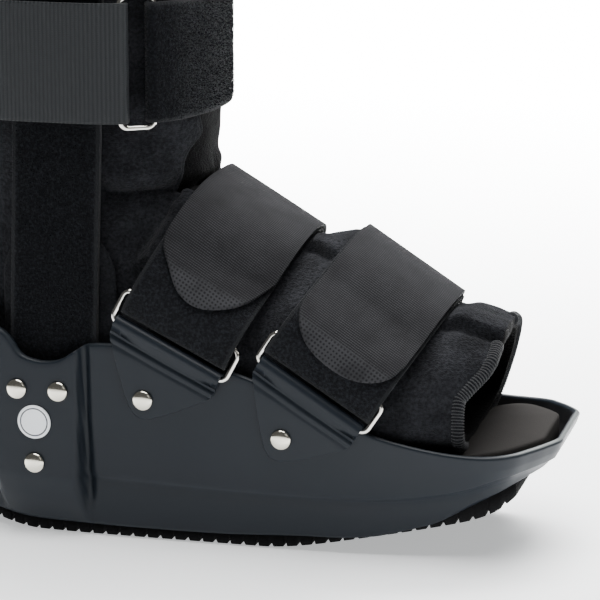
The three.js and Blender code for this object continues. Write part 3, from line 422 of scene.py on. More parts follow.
# Outsole: a tread of black rubber glued under the shell, cut into low cross lugs.
# It lies flat under the arch and curves up at both ends, so that the boot rolls over its toe.
TREAD = profile([(0, 0.66), (0.06, 0.34), (0.15, 0.11), (0.225, 0), (0.57, 0), (0.63, 0.05), (0.735, 0.24),
                 (0.84, 0.46), (0.905, 0.64), (0.935, 0.82), (0.95, 1)])
LUG = {"pitch": 12.5, "depth": 2.6, "inset": 1.5, "toe": 18.0, "base": 2.0, "drop": 32.0}
start = along(0) + HEEL_TAPER + LUG["inset"]
end = along(1) - LUG["toe"]
stations = plan_stations(400)
rows = []
for x in np.linspace(start, end, 1100):
    share = (x - along(0) - HEEL_TAPER) / (LENGTH - HEEL_TAPER - TOE_TAPER)
    half = np.interp(share, stations[0], stations[1]) * (WIDTH / 2 - SIDE_TAPER - LUG["inset"])
    top = line_at("sole", share) - 0.3
    ground = LUG["drop"] * max(float(TREAD((x - along(0)) / LENGTH)), 0)
    phase = (x - along(0.5)) / LUG["pitch"] + 0.5
    across = abs(phase - math.floor(phase) - 0.5) * LUG["pitch"]
    groove = 1 - smooth(LUG["pitch"] / 2 - across, 0.2, 0.95)
    notch = 1.5 * (1 - smooth(across, 0.3, 1.2))
    low = min(ground + (LUG["depth"] - 0.2) * groove + notch, top - LUG["base"])
    soft = min(1.0, (top - low) * 0.3)
    side = half - 0.5 * groove
    rows.append([(x, -side, top), (x, -side, low + soft), (x, -side + 0.3 * soft, low + 0.3 * soft),
                 (x, -side + soft, low), (x, 0, low), (x, side - soft, low),
                 (x, side - 0.3 * soft, low + 0.3 * soft), (x, side, low + soft), (x, side, top),
                 (x, 0, top)])
tread = grid_mesh("outsole_tread", metres(rows), wrap=True, caps=True)
outward(tread)
rubber, tree, shader = surface("black_rubber", (0.006, 0.006, 0.0065), 0.8, Specular_IOR_Level=0.08)
grained(tree, shader, 1200.0, 3.0, 0.3, 0.0004)
settle(tread, rubber, "outsole", "outsole")


# Insole: a loose pad of dark warm-grey foam, cut to the floor of the shell.
# Only its round toe end shows, in the open front of the boot.
stations = plan_stations(120)


def insole_ring(more, lift):
    inset = (0.6 * SIDE_TAPER + 1.4 * WALL + more, 0.6 * HEEL_TAPER + 1.4 * WALL + more,
             0.6 * TOE_TAPER + 1.4 * WALL + more - 1)
    rise = 2.5 if lift > 2 else 0
    return plan_ring(stations, inset, lambda s: line_at("floor", s) + lift + rise * smooth(s, 0.84, 0.93))


INSOLE_EDGE = ((1, 0.3), (0.2, 1), (0, 5), (0.1, 8.6), (0.4, 9.5), (1.1, 9.95), (4, 10), (20, 10))
insole = grid_mesh("insole_pad", metres([insole_ring(*pair) for pair in INSOLE_EDGE]), wrap=True, caps=True)
outward(insole)
foam, tree, shader = surface("insole_foam", (0.025, 0.0235, 0.0225), 0.9, Specular_IOR_Level=0.05)
grained(tree, shader, 1500.0, 2.0, 0.3, 0.0004)
settle(insole, foam, "insole", "insole")


# Liner: a bootie of foam faced with brushed charcoal knit, open at the toe and at the top.
# Its near flap closes over the far one on the shin, the far one over the near one on the foot,
# with rolled and overlocked edges, a deep crease at the ankle and a soft, slightly pilled nap.
STRAP_WIDTH, PILE, WEB, CLEAR, SLACK, WIRE = 50.8, 2.0, 1.8, 0.3, 0.5, 2.6
LINER_TOP, LINER_WALL, LINER_HALF = 272.0, 6.0, 52.0
STACK = PILE + WEB + CLEAR + SLACK
EDGE = STRAP_WIDTH / 2 + 2
FOOT_STRAPS = [
    {"lean": 27, "fold": (0.45, 0.878), "rise": 0.22, "rivet": 0.778, "tip": 9.0,
     "rear": (0.955, 0.02, 2.9, 0.048), "front": (0.965, -0.1, 2.0, 0.0154)},
    {"lean": 33, "fold": (0.661, 0.72), "rise": 0.1985, "rivet": 0.727, "tip": 2.2,
     "rear": (0.965, -0.1, 2.0, 0.0154), "front": (0.95, -0.2, 2.1, 0.0154)},
]
# sole point, top point, half width, widest level, roundness
TOE_SECTIONS = [(0.857, 0.909, 0.353, 0.9, 0.3, 2.3), (0.785, 0.86, 0.372, 0.93, 0.3, 2.2)]
# back point, front point, half width, roundness of the base and of the arch
LEG_SECTIONS = [
    (0.166, 0.152, 0.455, 0.571, 0.87, 2.6, 2.6), (0.085, 0.16, 0.454, 0.584, 0.865, 2.2, 2.4),
    (0.042, 0.215, 0.454, 0.6, 0.86, 2, 2.3), (0.028, 0.31, 0.456, 0.618, 0.86, 2, 2.3),
    (0.038, 0.42, 0.459, 0.645, 0.865, 2, 2.25), (0.052, 0.53, 0.463, 0.68, 0.89, 2.1, 2.2),
    (0.059, 0.66, 0.4645, 0.76, 0.955, 2.2, 2.2), (0.058, 0.83, 0.465, 0.87, 0.975, 2.2, 2.2),
    (0.055, 1, 0.468, 1, 0.98, 2.2, 2.2),
]
PAD = {"width": 51.0, "thick": 3.5, "top": 139.0, "foot": 62.0}
# lines on the near side: the ankle crease, the edge of the shin flap (height, place across),
# the edge of the foot flap (place along, place across), the shift of the near toe edge by height
ANKLE = [(4, -44.5, 158), (15.7, -43, 154.8), (20.7, -41.6, 151.8), (26.5, -39.6, 150.9),
         (33.4, -36.5, 151.7), (40.1, -32.1, 152.0), (47.4, -26.9, 151.4), (55, -10, 150.5)]
SHIN_EDGE = [(146, -27), (152, -26.6), (158, -25.7), (164, -24.4), (169, -22.2), (172, -19.7),
             (175.5, -16.6), (181.5, -18.8), (200, -20), (272, -20)]
FOOT_EDGE = [(84, -6), (92, -9), (100, -12.5), (105.6, -14.9), (111.4, -21), (116.4, -25.6), (130, -29),
             (150, -22), (163.6, -20.7), (175.7, -23.7), (183.2, -22.7), (192, -23)]
TOE_SHIFT = [(48, 1), (57, -1.5), (65, -4), (71, -5.5), (77, -2), (82, 1), (86, 2), (90, 1.5), (96, 0)]


class StrapFrame:
    """Origin at the tab fold, c along the fold, up the strap."""

    def __init__(self, strap):
        lean = math.radians(strap["lean"])
        self.origin = np.array((along(strap["fold"][0]), 0, strap["fold"][1] * RIM_UP))
        self.w = np.array((math.cos(lean), 0, -math.sin(lean)))
        self.v = np.array((math.sin(lean), 0, math.cos(lean)))

    def at(self, c, y, up):
        spot = self.origin + c * self.w + up * self.v
        spot[1] = y
        return spot


def sole_level(x):
    heel, toe = 0.6 * HEEL_TAPER + 1.4 * WALL, 0.6 * TOE_TAPER + 1.4 * WALL - 1
    return line_at("floor", (x - along(0) - heel) / (LENGTH - heel - toe)) + 10.5


def power(value, exponent):
    return np.sign(value) * np.abs(value) ** exponent


def strap_section(strap, edge):
    f = StrapFrame(strap)
    c = -EDGE if edge == "rear" else EDGE
    half, mid, arch, _ = strap[edge]
    rise = strap["rise"] * LINER_TOP - STACK
    base = f.at(c, 0, 0)
    back_at = f.at(c, 0, -(base[2] - sole_level(base[0])) / f.v[2])
    back_at[2] = max(back_at[2], sole_level(back_at[0]))
    front_at = f.at(c, 0, rise)
    length = np.linalg.norm(front_at - back_at)
    return back_at, front_at, half * LINER_HALF, (length - rise + mid * rise) / length, 3, arch


sections = []
for sole, top, up, half, mid, arch in TOE_SECTIONS:
    x = along(sole)
    sections.append((np.array((x, 0, sole_level(x))), np.array((along(top), 0, up * LINER_TOP)),
                     half * LINER_HALF, mid, 3, arch))
for strap in FOOT_STRAPS[::-1]:
    sections += [strap_section(strap, "front"), strap_section(strap, "rear")]
for ba, bu, fa, fu, half, base, arch in LEG_SECTIONS:
    sections.append((np.array((along(ba), 0, bu * LINER_TOP)), np.array((along(fa), 0, fu * LINER_TOP)),
                     half * LINER_HALF, 0.5, base, arch))


def stay_face(z):
    return WIDTH / 2 * 0.99 - WALL - 2 * CLEAR + (z - 94) * math.tan(math.radians(0.8))


def stay_centre(z):
    return -1.3 + (z - 94) * math.tan(math.radians(2.2))


PAD_OUTER = stay_face(PAD["foot"]) - 3.6 - CLEAR


def pad_limit(x, z):
    beside = np.maximum(np.abs(x) - PAD["width"] / 2 - 12, 0)
    above = np.maximum(z - PAD["top"] - 12, 0)
    return PAD_OUTER - PAD["thick"] - 1.7 + 1.5 * np.maximum(beside, above)


def liner_ring(section, inward, steps):
    back_at, front_at, half, mid, base, arch = section
    run = front_at - back_at
    length = np.linalg.norm(run)
    run = run / length
    length -= 2 * inward
    turn = np.arange(steps) / steps * 2 * math.pi
    upper = np.cos(turn) < 0
    roundness = np.where(upper, arch, base)
    reach = np.abs(np.cos(turn)) ** (2 / roundness)
    rise = np.where(upper, mid + (1 - mid) * reach, mid - mid * reach)
    spot = back_at + (inward + rise * length)[:, None] * run
    limit = pad_limit(spot[:, 0], spot[:, 2]) - inward
    spot[:, 1] = np.clip((half - inward) * power(np.sin(turn), 2 / roundness), -limit, limit)
    return spot


def between(rings, counts):
    """Smooth rings between given ones, spaced by their mean distance; straight under the straps."""
    rings = np.array(rings)
    t = np.concatenate(([0], np.cumsum(np.linalg.norm(np.diff(rings, axis=0), axis=2).mean(axis=1))))
    slope = np.gradient(rings, t, axis=0)
    out = []
    for k, n in enumerate(counts):
        span = t[k + 1] - t[k]
        for s in np.arange(n) / n:
            if k in (2, 4):
                out.append(rings[k] * (1 - s) + rings[k + 1] * s)
                continue
            rise = 3 * s ** 2 - 2 * s ** 3
            first, last = s ** 3 - 2 * s ** 2 + s, s ** 3 - s ** 2
            out.append((1 - rise) * rings[k] + first * span * slope[k] + rise * rings[k + 1]
                       + last * span * slope[k + 1])
    out.append(rings[-1])
    return np.array(out)


def surface_normals(rings):
    run = np.gradient(rings, axis=0)
    turn = np.roll(rings, -1, axis=1) - np.roll(rings, 1, axis=1)
    normal = np.cross(run, turn)
    normal /= np.linalg.norm(normal, axis=2)[:, :, None] + 1e-9
    flip = np.sign(np.sum(normal * (rings - rings.mean(axis=1)[:, None]), axis=2).mean())
    return normal * flip


def line_distance(points, line):
    best = np.full(points.shape[:-1], 1e9)
    for a, b in zip(np.array(line, float)[:-1], np.array(line, float)[1:]):
        t = np.clip((points - a) @ (b - a) / ((b - a) @ (b - a)), 0, 1)
        best = np.minimum(best, np.linalg.norm(points - a - t[..., None] * (b - a), axis=-1))
    return best


def free_of_straps(points, margin=3.0):
    """1 where no foot strap presses on the liner, 0 under a strap."""
    free = np.ones(points.shape[:-1])
    for strap in FOOT_STRAPS:
        f = StrapFrame(strap)
        c = (points - f.origin) @ f.w
        free *= smooth(np.abs(c), STRAP_WIDTH / 2 + 0.6, STRAP_WIDTH / 2 + 0.6 + margin)
    return free


def ripple(points, scale, seed):
    """Soft irregular waves of about one unit."""
    flat = points.reshape(-1, 3) * scale + seed
    return np.array([noise.noise(Vector(p)) for p in flat]).reshape(points.shape[:-1])


around = 288
outer = between([liner_ring(s, 0, around) for s in sections],
                (12, 6, 20, 10, 20, 6, 10, 8, 10, 20, 26, 22, 16, 12))
inner = between([liner_ring(s, LINER_WALL, around) for s in sections],
                (3, 2, 5, 2, 5, 2, 3, 3, 3, 4, 4, 4, 4, 3))[::-1]
normals = surface_normals(outer)
x, y, z = outer[..., 0], outer[..., 1], outer[..., 2]
free = free_of_straps(outer)
crease = line_distance(np.where((y > 0)[..., None], outer * (1, -1, 1), outer), ANKLE)
strapped = smooth(z, 181, 186)
move = (-3.2 * np.exp(-(crease / 2.1) ** 2) + 1.9 * np.exp(-((crease - 8) / 4.5) ** 2)) * (1 - strapped)
shin = np.interp(z, *np.array(SHIN_EDGE).T) - y
on_shin = smooth(z, 147, 151) * smooth(x, 20, 34)
move += on_shin * (1 - 0.8 * strapped) * (3.0 * smooth(shin, -0.5, 1.4) * (1 - smooth(shin, 5, 26)))
foot = y - np.interp(x, *np.array(FOOT_EDGE).T)
on_foot = smooth(normals[..., 2], 0.15, 0.45) * smooth(x, 80, 88) * free * (1 - smooth(z, 132, 140))
roll = 3.4 * smooth(foot, -0.3, 2.6) * (1 - smooth(foot, 5, 24))
move += on_foot * (roll - 1.6 * np.exp(-((foot + 1.6) / 1.8) ** 2))
move += free * (1 - strapped) * (0.9 * ripple(outer, 0.045, 3.1) + 0.45 * ripple(outer, 0.14, 7.7))
move *= smooth(z, 56, 70)
outer = outer + normals * move[..., None]
ahead = 1 - smooth(np.abs(np.arange(len(outer)) / 18.0), 0, 1)
shift = np.interp(z, *np.array(TOE_SHIFT).T) * (y < 0) * ahead[:, None]
outer[..., 0] += shift
inner[..., 0] += (np.interp(inner[..., 2], *np.array(TOE_SHIFT).T) * (inner[..., 1] < 0)
                  * (1 - smooth(np.arange(len(inner))[::-1] / 5.0, 0, 1))[:, None])
turns = (0.08, 0.25, 0.5, 0.75, 0.92)
top_roll = [outer[-1] * (1 - s) + inner[0] * s + (0, 0, 2.2 * math.sin(math.pi * s)) for s in turns]
toe_roll = [inner[-1] * (1 - s) + outer[0] * s + (0.6 * math.sin(math.pi * s), 0, 0) for s in turns]
liner_rings = np.vstack((outer, top_roll, inner, toe_roll))
liner = grid_mesh("liner_bootie", metres(liner_rings), wrap=True, loop=True)
outward(liner)
# painted shade: the inner face, both rolled openings and the strip past the near shin flap's edge are painted
# near black, where shade falls
lining = np.ones(liner_rings.shape[:2])
on_gap = (1 - smooth(shin, -0.6, 0)) * (1 - smooth(y, 6, 22))
lining[:len(outer)] = on_gap * smooth(z, 147, 151) * (x > 20)
attribute(liner, "lining", lining)
liner_tree = ray_tree(liner)


# brushed warp knit: fine rows under a short nap
brushed, given, result = shader_group("brushed_knit", {"Nap": 700.0, "Rows": 330.0},
                                      {"Normal": "Vector", "Shade": "Float"})
spot = put(brushed, "ShaderNodeTexCoord").outputs["Object"]
nap = noise_map(brushed, spot, given["Nap"], 4.0)
rows = wave_map(brushed, spot, given["Rows"], "Z", Distortion=9.0, Detail=2.0, Detail_Scale=3.0)
height = put(brushed, "ShaderNodeMath", {0: rows, 1: 0.22, 2: nap}, operation="MULTIPLY_ADD").outputs[0]
brushed.links.new(bumped(brushed, height, 0.9, 0.0011), result["Normal"])
shade = put(brushed, "ShaderNodeMath", {0: nap, 1: noise_map(brushed, spot, 60.0, 3.0)},
            operation="MULTIPLY").outputs[0]
ramp = put(brushed, "ShaderNodeMapRange", {"Value": shade, "From Min": 0.12, "From Max": 0.42})
brushed.links.new(ramp.outputs[0], result["Shade"])


def knit_material(name, dark, light, scale=1.0):
    """A knit cloth between two tones; returns its shader and the mixed colour too."""
    material, tree, shader = surface(name, dark, 0.95, Sheen_Weight=0.03, Sheen_Roughness=0.5,
                                     Specular_IOR_Level=0.05)
    made = put(tree, "ShaderNodeGroup", {"Nap": 700.0 * scale, "Rows": 330.0 * scale}, node_tree=brushed)
    tree.links.new(made.outputs["Normal"], shader.inputs["Normal"])
    return material, tree, shader, mixed(tree, made.outputs["Shade"], dark, light)


knit, tree, shader, colour = knit_material("charcoal_knit", (0.0045, 0.0048, 0.0058), (0.024, 0.025, 0.029))
# painted shade: near black inside the bootie and past the edge of the near shin flap
colour = mixed(tree, mask(tree, "lining"), colour, (0.0012, 0.0012, 0.0014))
tree.links.new(colour, shader.inputs["Base Color"])
settle(liner, knit, "liner", "liner")


# Edges of the flaps: a piped edge down the shin flap and overlocked rolls on the open toe.
# The thread of the overlock wraps each roll in close, slightly slanted stitches.
def tube(name, path, radius, sides=12, closed=False, flat=1.0, facing=(0, 1, 0)):
    """A round or flattened bar along a path in millimetres; radius may change along it."""
    path = np.array(path, float)
    count = len(path)
    run = (np.roll(path, -1, axis=0) - np.roll(path, 1, axis=0)) if closed else np.gradient(path, axis=0)
    run /= np.linalg.norm(run, axis=1)[:, None] + 1e-9
    radius = np.broadcast_to(radius, (count,))
    ring = np.array(facing, float)
    rows = []
    for k in range(count):
        ring = ring - (ring @ run[k]) * run[k]
        ring /= np.linalg.norm(ring)
        side = np.cross(run[k], ring)
        turn = np.arange(sides) / sides * 2 * math.pi
        spoke = np.cos(turn)[:, None] * ring * flat + np.sin(turn)[:, None] * side
        rows.append(path[k] + radius[k] * spoke)
    if not closed:
        for end, way in ((0, -1), (-1, 1)):
            ahead = way * run[end] * radius[end]
            cap = [path[end] + (rows[end] - path[end]) * s + ahead * (1 - s * s) ** 0.5
                   for s in (0.9, 0.6, 0.15)]
            rows = cap[::-1] + rows if end == 0 else rows + cap
    obj = grid_mesh(name, metres(rows), wrap=True, loop=closed, caps=not closed)
    return outward(obj)


thread, tree, shader = surface("dark_thread", (0.014, 0.0152, 0.018), 0.8, Sheen_Weight=0.2)
EDGE_TONES = ((0.006, 0.0064, 0.0075), (0.018, 0.019, 0.022))
edge_cloth, tree, shader, colour = knit_material("edge_cloth", *EDGE_TONES, 1.3)
tree.links.new(colour, shader.inputs["Base Color"])

line = []
for height, place in SHIN_EDGE[1:8]:
    hit = liner_tree.ray_cast(Vector(metres((120, place - 0.6, height))), Vector((-1, 0, 0)))[0]
    line.append(np.array(hit) * 1000 - (SHIFT, 0, 0) + (0.2, 0, 0))
piping = tube("liner_shin_edge", spline(line, 60), 1.5, facing=(1, 0, 0), flat=0.8)
settle(piping, edge_cloth, "liner")


def growing_group(name, numbers):
    """A geometry group with its named inputs; what it grows on, the part to copy and its thread."""
    group = bpy.data.node_groups.new(name, "GeometryNodeTree")
    face = group.interface
    face.new_socket("Geometry", in_out="INPUT", socket_type="NodeSocketGeometry")
    for label, value in numbers.items():
        kind = "NodeSocketInt" if isinstance(value, int) else "NodeSocketFloat"
        face.new_socket(label, in_out="INPUT", socket_type=kind).default_value = value
    face.new_socket("Part", in_out="INPUT", socket_type="NodeSocketObject")
    face.new_socket("Thread", in_out="INPUT", socket_type="NodeSocketMaterial")
    face.new_socket("Geometry", in_out="OUTPUT", socket_type="NodeSocketGeometry")
    return group, group.nodes.new("NodeGroupInput").outputs


def turned(group, rotation, by):
    made = put(group, "FunctionNodeRotateRotation", {"Rotation": rotation, "Rotate By": by},
               rotation_space="LOCAL")
    return made.outputs["Rotation"]


def planted(group, given, points, rotation, **more):
    """The end of a growing group: copies of the part on points, made real, in one material."""
    shape = put(group, "GeometryNodeObjectInfo", {"Object": given["Part"]})
    placed = put(group, "GeometryNodeInstanceOnPoints",
                 {"Points": points, "Instance": shape.outputs["Geometry"], "Rotation": rotation, **more})
    real = put(group, "GeometryNodeRealizeInstances", {"Geometry": placed.outputs["Instances"]})
    done = put(group, "GeometryNodeSetMaterial", {"Geometry": real.outputs[0], "Material": given["Thread"]})
    group.links.new(done.outputs[0], group.nodes.new("NodeGroupOutput").inputs[0])


def grown(name, source, group, values):
    """The plain mesh that a node group makes from an object."""
    modifier = source.modifiers.new("grow", "NODES")
    modifier.node_group = group
    sockets = {s.name: s.identifier for s in group.interface.items_tree if s.in_out == "INPUT"}
    for key, value in values.items():
        modifier[sockets[key]] = value
    bpy.context.view_layer.update()
    mesh = bpy.data.meshes.new_from_object(source.evaluated_get(bpy.context.evaluated_depsgraph_get()))
    mesh.name = name
    source.modifiers.remove(modifier)
    obj = bpy.data.objects.new(name, mesh)
    bpy.context.scene.collection.objects.link(obj)
    return obj


def curve_of(name, points):
    curve = bpy.data.curves.new(name, "CURVE")
    curve.dimensions = "3D"
    line = curve.splines.new("POLY")
    line.points.add(len(points) - 1)
    for spot, p in zip(line.points, metres(points)):
        spot.co = (*p, 1)
    obj = bpy.data.objects.new(name, curve)
    bpy.context.scene.collection.objects.link(obj)
    return obj


# overlock: a thread loop set evenly along a path, slanted a little
stitches, given = growing_group("overlock", {"Pitch": 0.0012, "Slant": 0.3})
spots = put(stitches, "GeometryNodeCurveToPoints", {"Curve": given["Geometry"], "Length": given["Pitch"]},
            mode="LENGTH").outputs
slant = put(stitches, "ShaderNodeCombineXYZ", {"X": given["Slant"]}).outputs[0]
planted(stitches, given, spots["Points"], turned(stitches, spots["Rotation"], slant))
turns = np.arange(20) / 20 * 2 * math.pi
ring_path = np.stack((2.75 * np.cos(turns), 2.75 * np.sin(turns), 0 * turns), axis=1)
loop = tube("thread_loop", ring_path - (SHIFT, 0, 0), 0.22, sides=5, closed=True, facing=(0, 0, 1))
for name, side in (("near", -1), ("far", 1)):
    front_ring = outer[0]
    index = np.arange(26, 138) if side > 0 else np.arange(around - 26, around - 121, -1)
    edge_line = front_ring[index]
    centre = front_ring.mean(axis=0)
    inward = centre - edge_line
    inward /= np.linalg.norm(inward, axis=1)[:, None]
    path = even(edge_line + inward * 1.2 - (1.3, 0, 0), 150)
    roll = tube(f"liner_edge_{name}", path, 2.55, sides=16, flat=1.0)
    settle(roll, edge_cloth if side < 0 else knit, "liner", f"liner_toe_edge_{name}")
    guide = curve_of("guide", path)
    made = grown(f"liner_stitches_{name}", guide, stitches,
                 {"Pitch": 0.00125, "Slant": 0.28, "Part": loop, "Thread": thread})
    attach(made, "root")
    bpy.data.objects.remove(guide)
bpy.data.objects.remove(loop)


# Ankle pads: flat knit pillows between the stays and the bootie, filled with thin foam.
# In a real boot each is sewn to the bootie's side; here it is a padded piece of its own.
def pad_piece(name, side):
    inner_face = PAD_OUTER - PAD["thick"]
    radius = PAD["width"] / 2
    arc = PAD["top"] - radius
    rows = []
    arch = arc + radius * np.sin(np.linspace(0.06, 1.55, 26))
    for z in np.concatenate((np.linspace(PAD["foot"], arc, 30), arch)):
        half = radius * (1 if z <= arc else math.sqrt(max(1 - ((z - arc) / radius) ** 2, 1e-4)))
        rim = min(1.0, ((PAD["top"] - z) / 5) ** 0.5) if z > arc else 1.0
        share = np.sin(np.linspace(-1, 1, 25) * math.pi / 2)
        puff = PAD["thick"] / 2 * (1 - np.abs(share) ** 5) ** 0.5 * max(rim, 0.05)
        middle = inner_face + PAD["thick"] / 2
        front = [(s * half, side * (middle + p), z) for s, p in zip(share, puff)]
        rear = [(s * half, side * (middle - p), z) for s, p in zip(share[::-1][1:-1], puff[::-1][1:-1])]
        rows.append(front + rear)
    return outward(grid_mesh(name, metres(rows), wrap=True, caps=True))


for name, side in (("near", -1), ("far", 1)):
    pad = pad_piece(f"ankle_cushion_{name}", side)
    settle(pad, edge_cloth, "liner", f"ankle_pad_{name}")


# Stays: flat bars in covers of black loop pile with woven selvages, riveted inside the shell.
# They lean a little forward and out, and end in a round top under the leg strap.
def sheet(name, grid, thick, soft=0.35, flat=None):
    """A sheet over a grid of middle points, columns across and stations along, with soft rims."""
    grid = np.array(grid, float)
    columns, stations = grid.shape[:2]
    normal = np.cross(np.gradient(grid, axis=1), np.gradient(grid, axis=0))
    normal /= np.linalg.norm(normal, axis=2)[:, :, None] + 1e-9
    half = np.full((columns, stations), thick / 2)
    half[[0, -1], :] *= soft
    half[:, [0, -1]] *= soft
    points = np.concatenate([(grid + normal * half[:, :, None] * s).reshape(-1, 3) for s in (1, -1)])
    j, i = np.meshgrid(np.arange(columns - 1), np.arange(stations - 1), indexing="ij")
    a = (j * stations + i).ravel()
    under = columns * stations
    top = np.stack((a, a + 1, a + stations + 1, a + stations), axis=1)
    rim = ([(0, k) for k in range(stations - 1)] + [(k, stations - 1) for k in range(columns - 1)]
           + [(columns - 1, k) for k in range(stations - 1, 0, -1)]
           + [(k, 0) for k in range(columns - 1, 0, -1)])
    rim = np.array([c * stations + s for c, s in rim])
    after = np.roll(rim, -1)
    side = np.stack((rim, rim + under, after + under, after), axis=1)
    faces = np.vstack((top, top[:, ::-1] + under, side))
    mesh = bpy.data.meshes.new(name)
    mesh.from_pydata(metres(points).tolist(), [], faces.tolist())
    run = np.linalg.norm(np.diff(grid, axis=1), axis=2).mean(axis=0)
    wide = np.linalg.norm(np.diff(grid, axis=0), axis=2).mean(axis=1)
    u, v = (np.concatenate(([0], np.cumsum(step))) / 1000 for step in (run, wide))
    index = np.zeros(len(mesh.loops), int)
    mesh.loops.foreach_get("vertex_index", index)
    index %= under
    layer = mesh.uv_layers.new(name="flat")
    spots = np.stack((u[index % stations], v[index // stations]), axis=1) if flat is None else flat[index]
    layer.data.foreach_set("uv", spots.ravel())
    mesh.shade_smooth()
    obj = bpy.data.objects.new(name, mesh)
    bpy.context.scene.collection.objects.link(obj)
    rimmed = np.minimum(v, v[-1] - v) * 1000
    attribute(obj, "inset", np.tile(np.repeat(rimmed, stations), 2))
    attribute(obj, "outer", np.concatenate((np.ones(under), np.zeros(under))))
    return outward(obj)


def pile_material(name, dark, light):
    """Black loop pile in small clumps between flat woven selvages."""
    material, tree, shader = surface(name, dark, 0.95, Sheen_Weight=0.06, Specular_IOR_Level=0.08)
    spot = put(tree, "ShaderNodeTexCoord").outputs["Object"]
    loops = noise_map(tree, spot, 850.0, 3.0)
    height = put(tree, "ShaderNodeMath", {0: loops, 1: noise_map(tree, spot, 2600.0, 2.0)},
                 operation="ADD").outputs[0]
    tree.links.new(bumped(tree, height, 0.8, 0.0009), shader.inputs["Normal"])
    shade = put(tree, "ShaderNodeMapRange", {"Value": loops, "From Min": 0.42, "From Max": 0.68}).outputs[0]
    colour = mixed(tree, shade, dark, light)
    flat = put(tree, "ShaderNodeMapRange", {"Value": mask(tree, "inset"), "From Min": 1.3, "From Max": 1.8,
                                            "To Min": 1.0, "To Max": 0.0}).outputs[0]
    tree.links.new(mixed(tree, flat, colour, (0.012, 0.0128, 0.0145)), shader.inputs["Base Color"])
    return material


pile = pile_material("loop_pile", (0.0025, 0.003, 0.004), (0.012, 0.0133, 0.0165))
fibre_cloth, tree, shader = surface("pile_fibre", (0.0055, 0.0062, 0.0078), 0.9, Specular_IOR_Level=0.1)


# pile: short bent fibres scattered over the bare outer face of a sheet
SELVAGE = 1.7
pile_grow, given = growing_group("pile_fibres", {"Density": 2.0e6, "Seed": 4})
outer_face = put(pile_grow, "GeometryNodeInputNamedAttribute", {"Name": "outer"}, data_type="FLOAT")
inset = put(pile_grow, "GeometryNodeInputNamedAttribute", {"Name": "inset"}, data_type="FLOAT")
clear = put(pile_grow, "ShaderNodeMath", {0: inset.outputs[0], 1: SELVAGE}, operation="GREATER_THAN")
bare = put(pile_grow, "ShaderNodeMath", {0: clear.outputs[0], 1: outer_face.outputs[0]}, operation="MULTIPLY")
spread = put(pile_grow, "GeometryNodeDistributePointsOnFaces",
             {"Mesh": given["Geometry"], "Selection": bare.outputs[0], "Density": given["Density"],
              "Seed": given["Seed"]}).outputs
twist = put(pile_grow, "FunctionNodeRandomValue", {0: (-0.8, -0.8, -3.14), 1: (0.8, 0.8, 3.14)},
            data_type="FLOAT_VECTOR").outputs[0]
size = put(pile_grow, "FunctionNodeRandomValue", {2: 0.6, 3: 1.3}, data_type="FLOAT").outputs[1]
planted(pile_grow, given, spread["Points"], turned(pile_grow, spread["Rotation"], twist), Scale=size)
bend = np.array([(0, 0, 0), (0.12, 0, 0.45), (0.42, 0, 0.72)])
fibre_rows = np.stack((bend + (0, -0.11, 0), bend + (0, 0.11, 0)), axis=1) - (SHIFT, 0, 0)
fibre = grid_mesh("pile_fibre", metres(fibre_rows), uv=False)


def with_pile(obj, density, seed):
    made = grown(f"{obj.name}_fibres", obj, pile_grow,
                 {"Density": density, "Seed": seed, "Part": fibre, "Thread": fibre_cloth})
    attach(made, "root")


STAY = {"width": 39.0, "thick": 3.6, "top": 258.0, "foot": 44.0, "cut": 11.0, "neck": 71.0, "shoulder": 6.0}
radius = STAY["width"] / 2
arc = STAY["top"] - radius
heights = np.concatenate((np.linspace(STAY["foot"], arc - 0.5, 110),
                          arc + (radius - 0.1) * np.sin(np.linspace(0.03, 1.45, 18))))
for name, side in (("near", -1), ("far", 1)):
    grid = []
    for share in (np.sin(np.linspace(-1, 1, 31) * math.pi / 2) + 1) / 2:
        row = []
        for z in heights:
            cut = STAY["cut"] * (1 - smooth(z, STAY["neck"], STAY["neck"] + STAY["shoulder"]))
            half = radius * (1 if z <= arc else math.sqrt(max(1 - ((z - arc) / radius) ** 2, 0)))
            rear, front = stay_centre(z) - half, stay_centre(z) + half - cut
            row.append((rear + (front - rear) * share, side * (stay_face(z) - STAY["thick"] / 2), z))
        grid.append(row)
    stay = sheet(f"stay_cover_{name}", grid[::side], STAY["thick"] - 0.3)
    settle(stay, pile, "loop_pile", f"upright_{name}")
    with_pile(stay, 2.6e6 if side < 0 else 0.6e6, 11 + side)


# Tabs: a strip of the shell's plastic folded over each ring, its leaves riveted to the wall.
# Two grooves cross it under the fold, and its lower end is cut to a blunt point.
TAB = {"sheet": 1.3, "width": 51.5, "depth": 37.0, "back": 9.0, "round": 7.0, "tip": 1.3}
RING = {"length": 58.0, "height": 17.0, "corner": 3.2, "lean": 1.8}


def ring_bars(strap):
    f = StrapFrame(strap)
    seat = TAB["sheet"] + 2 * SLACK + WIRE / 2
    drop = -(TAB["sheet"] + SLACK + WIRE / 2)
    span = TAB["width"] * 0.4
    rear, front = (wall_at(*f.at(c, 0, drop)[[0, 2]]) for c in (-span, span))

    def low(c):
        return rear + (front - rear) * (c + span) / (2 * span) + seat

    return f, low, lambda c: low(c) - RING["lean"], drop, drop + RING["height"] - WIRE


def turn_round(out, up, radius, first, last, steps):
    turn = np.radians(np.linspace(first, last, steps + 1))
    return [(out + radius * math.cos(t), up + radius * math.sin(t)) for t in turn]


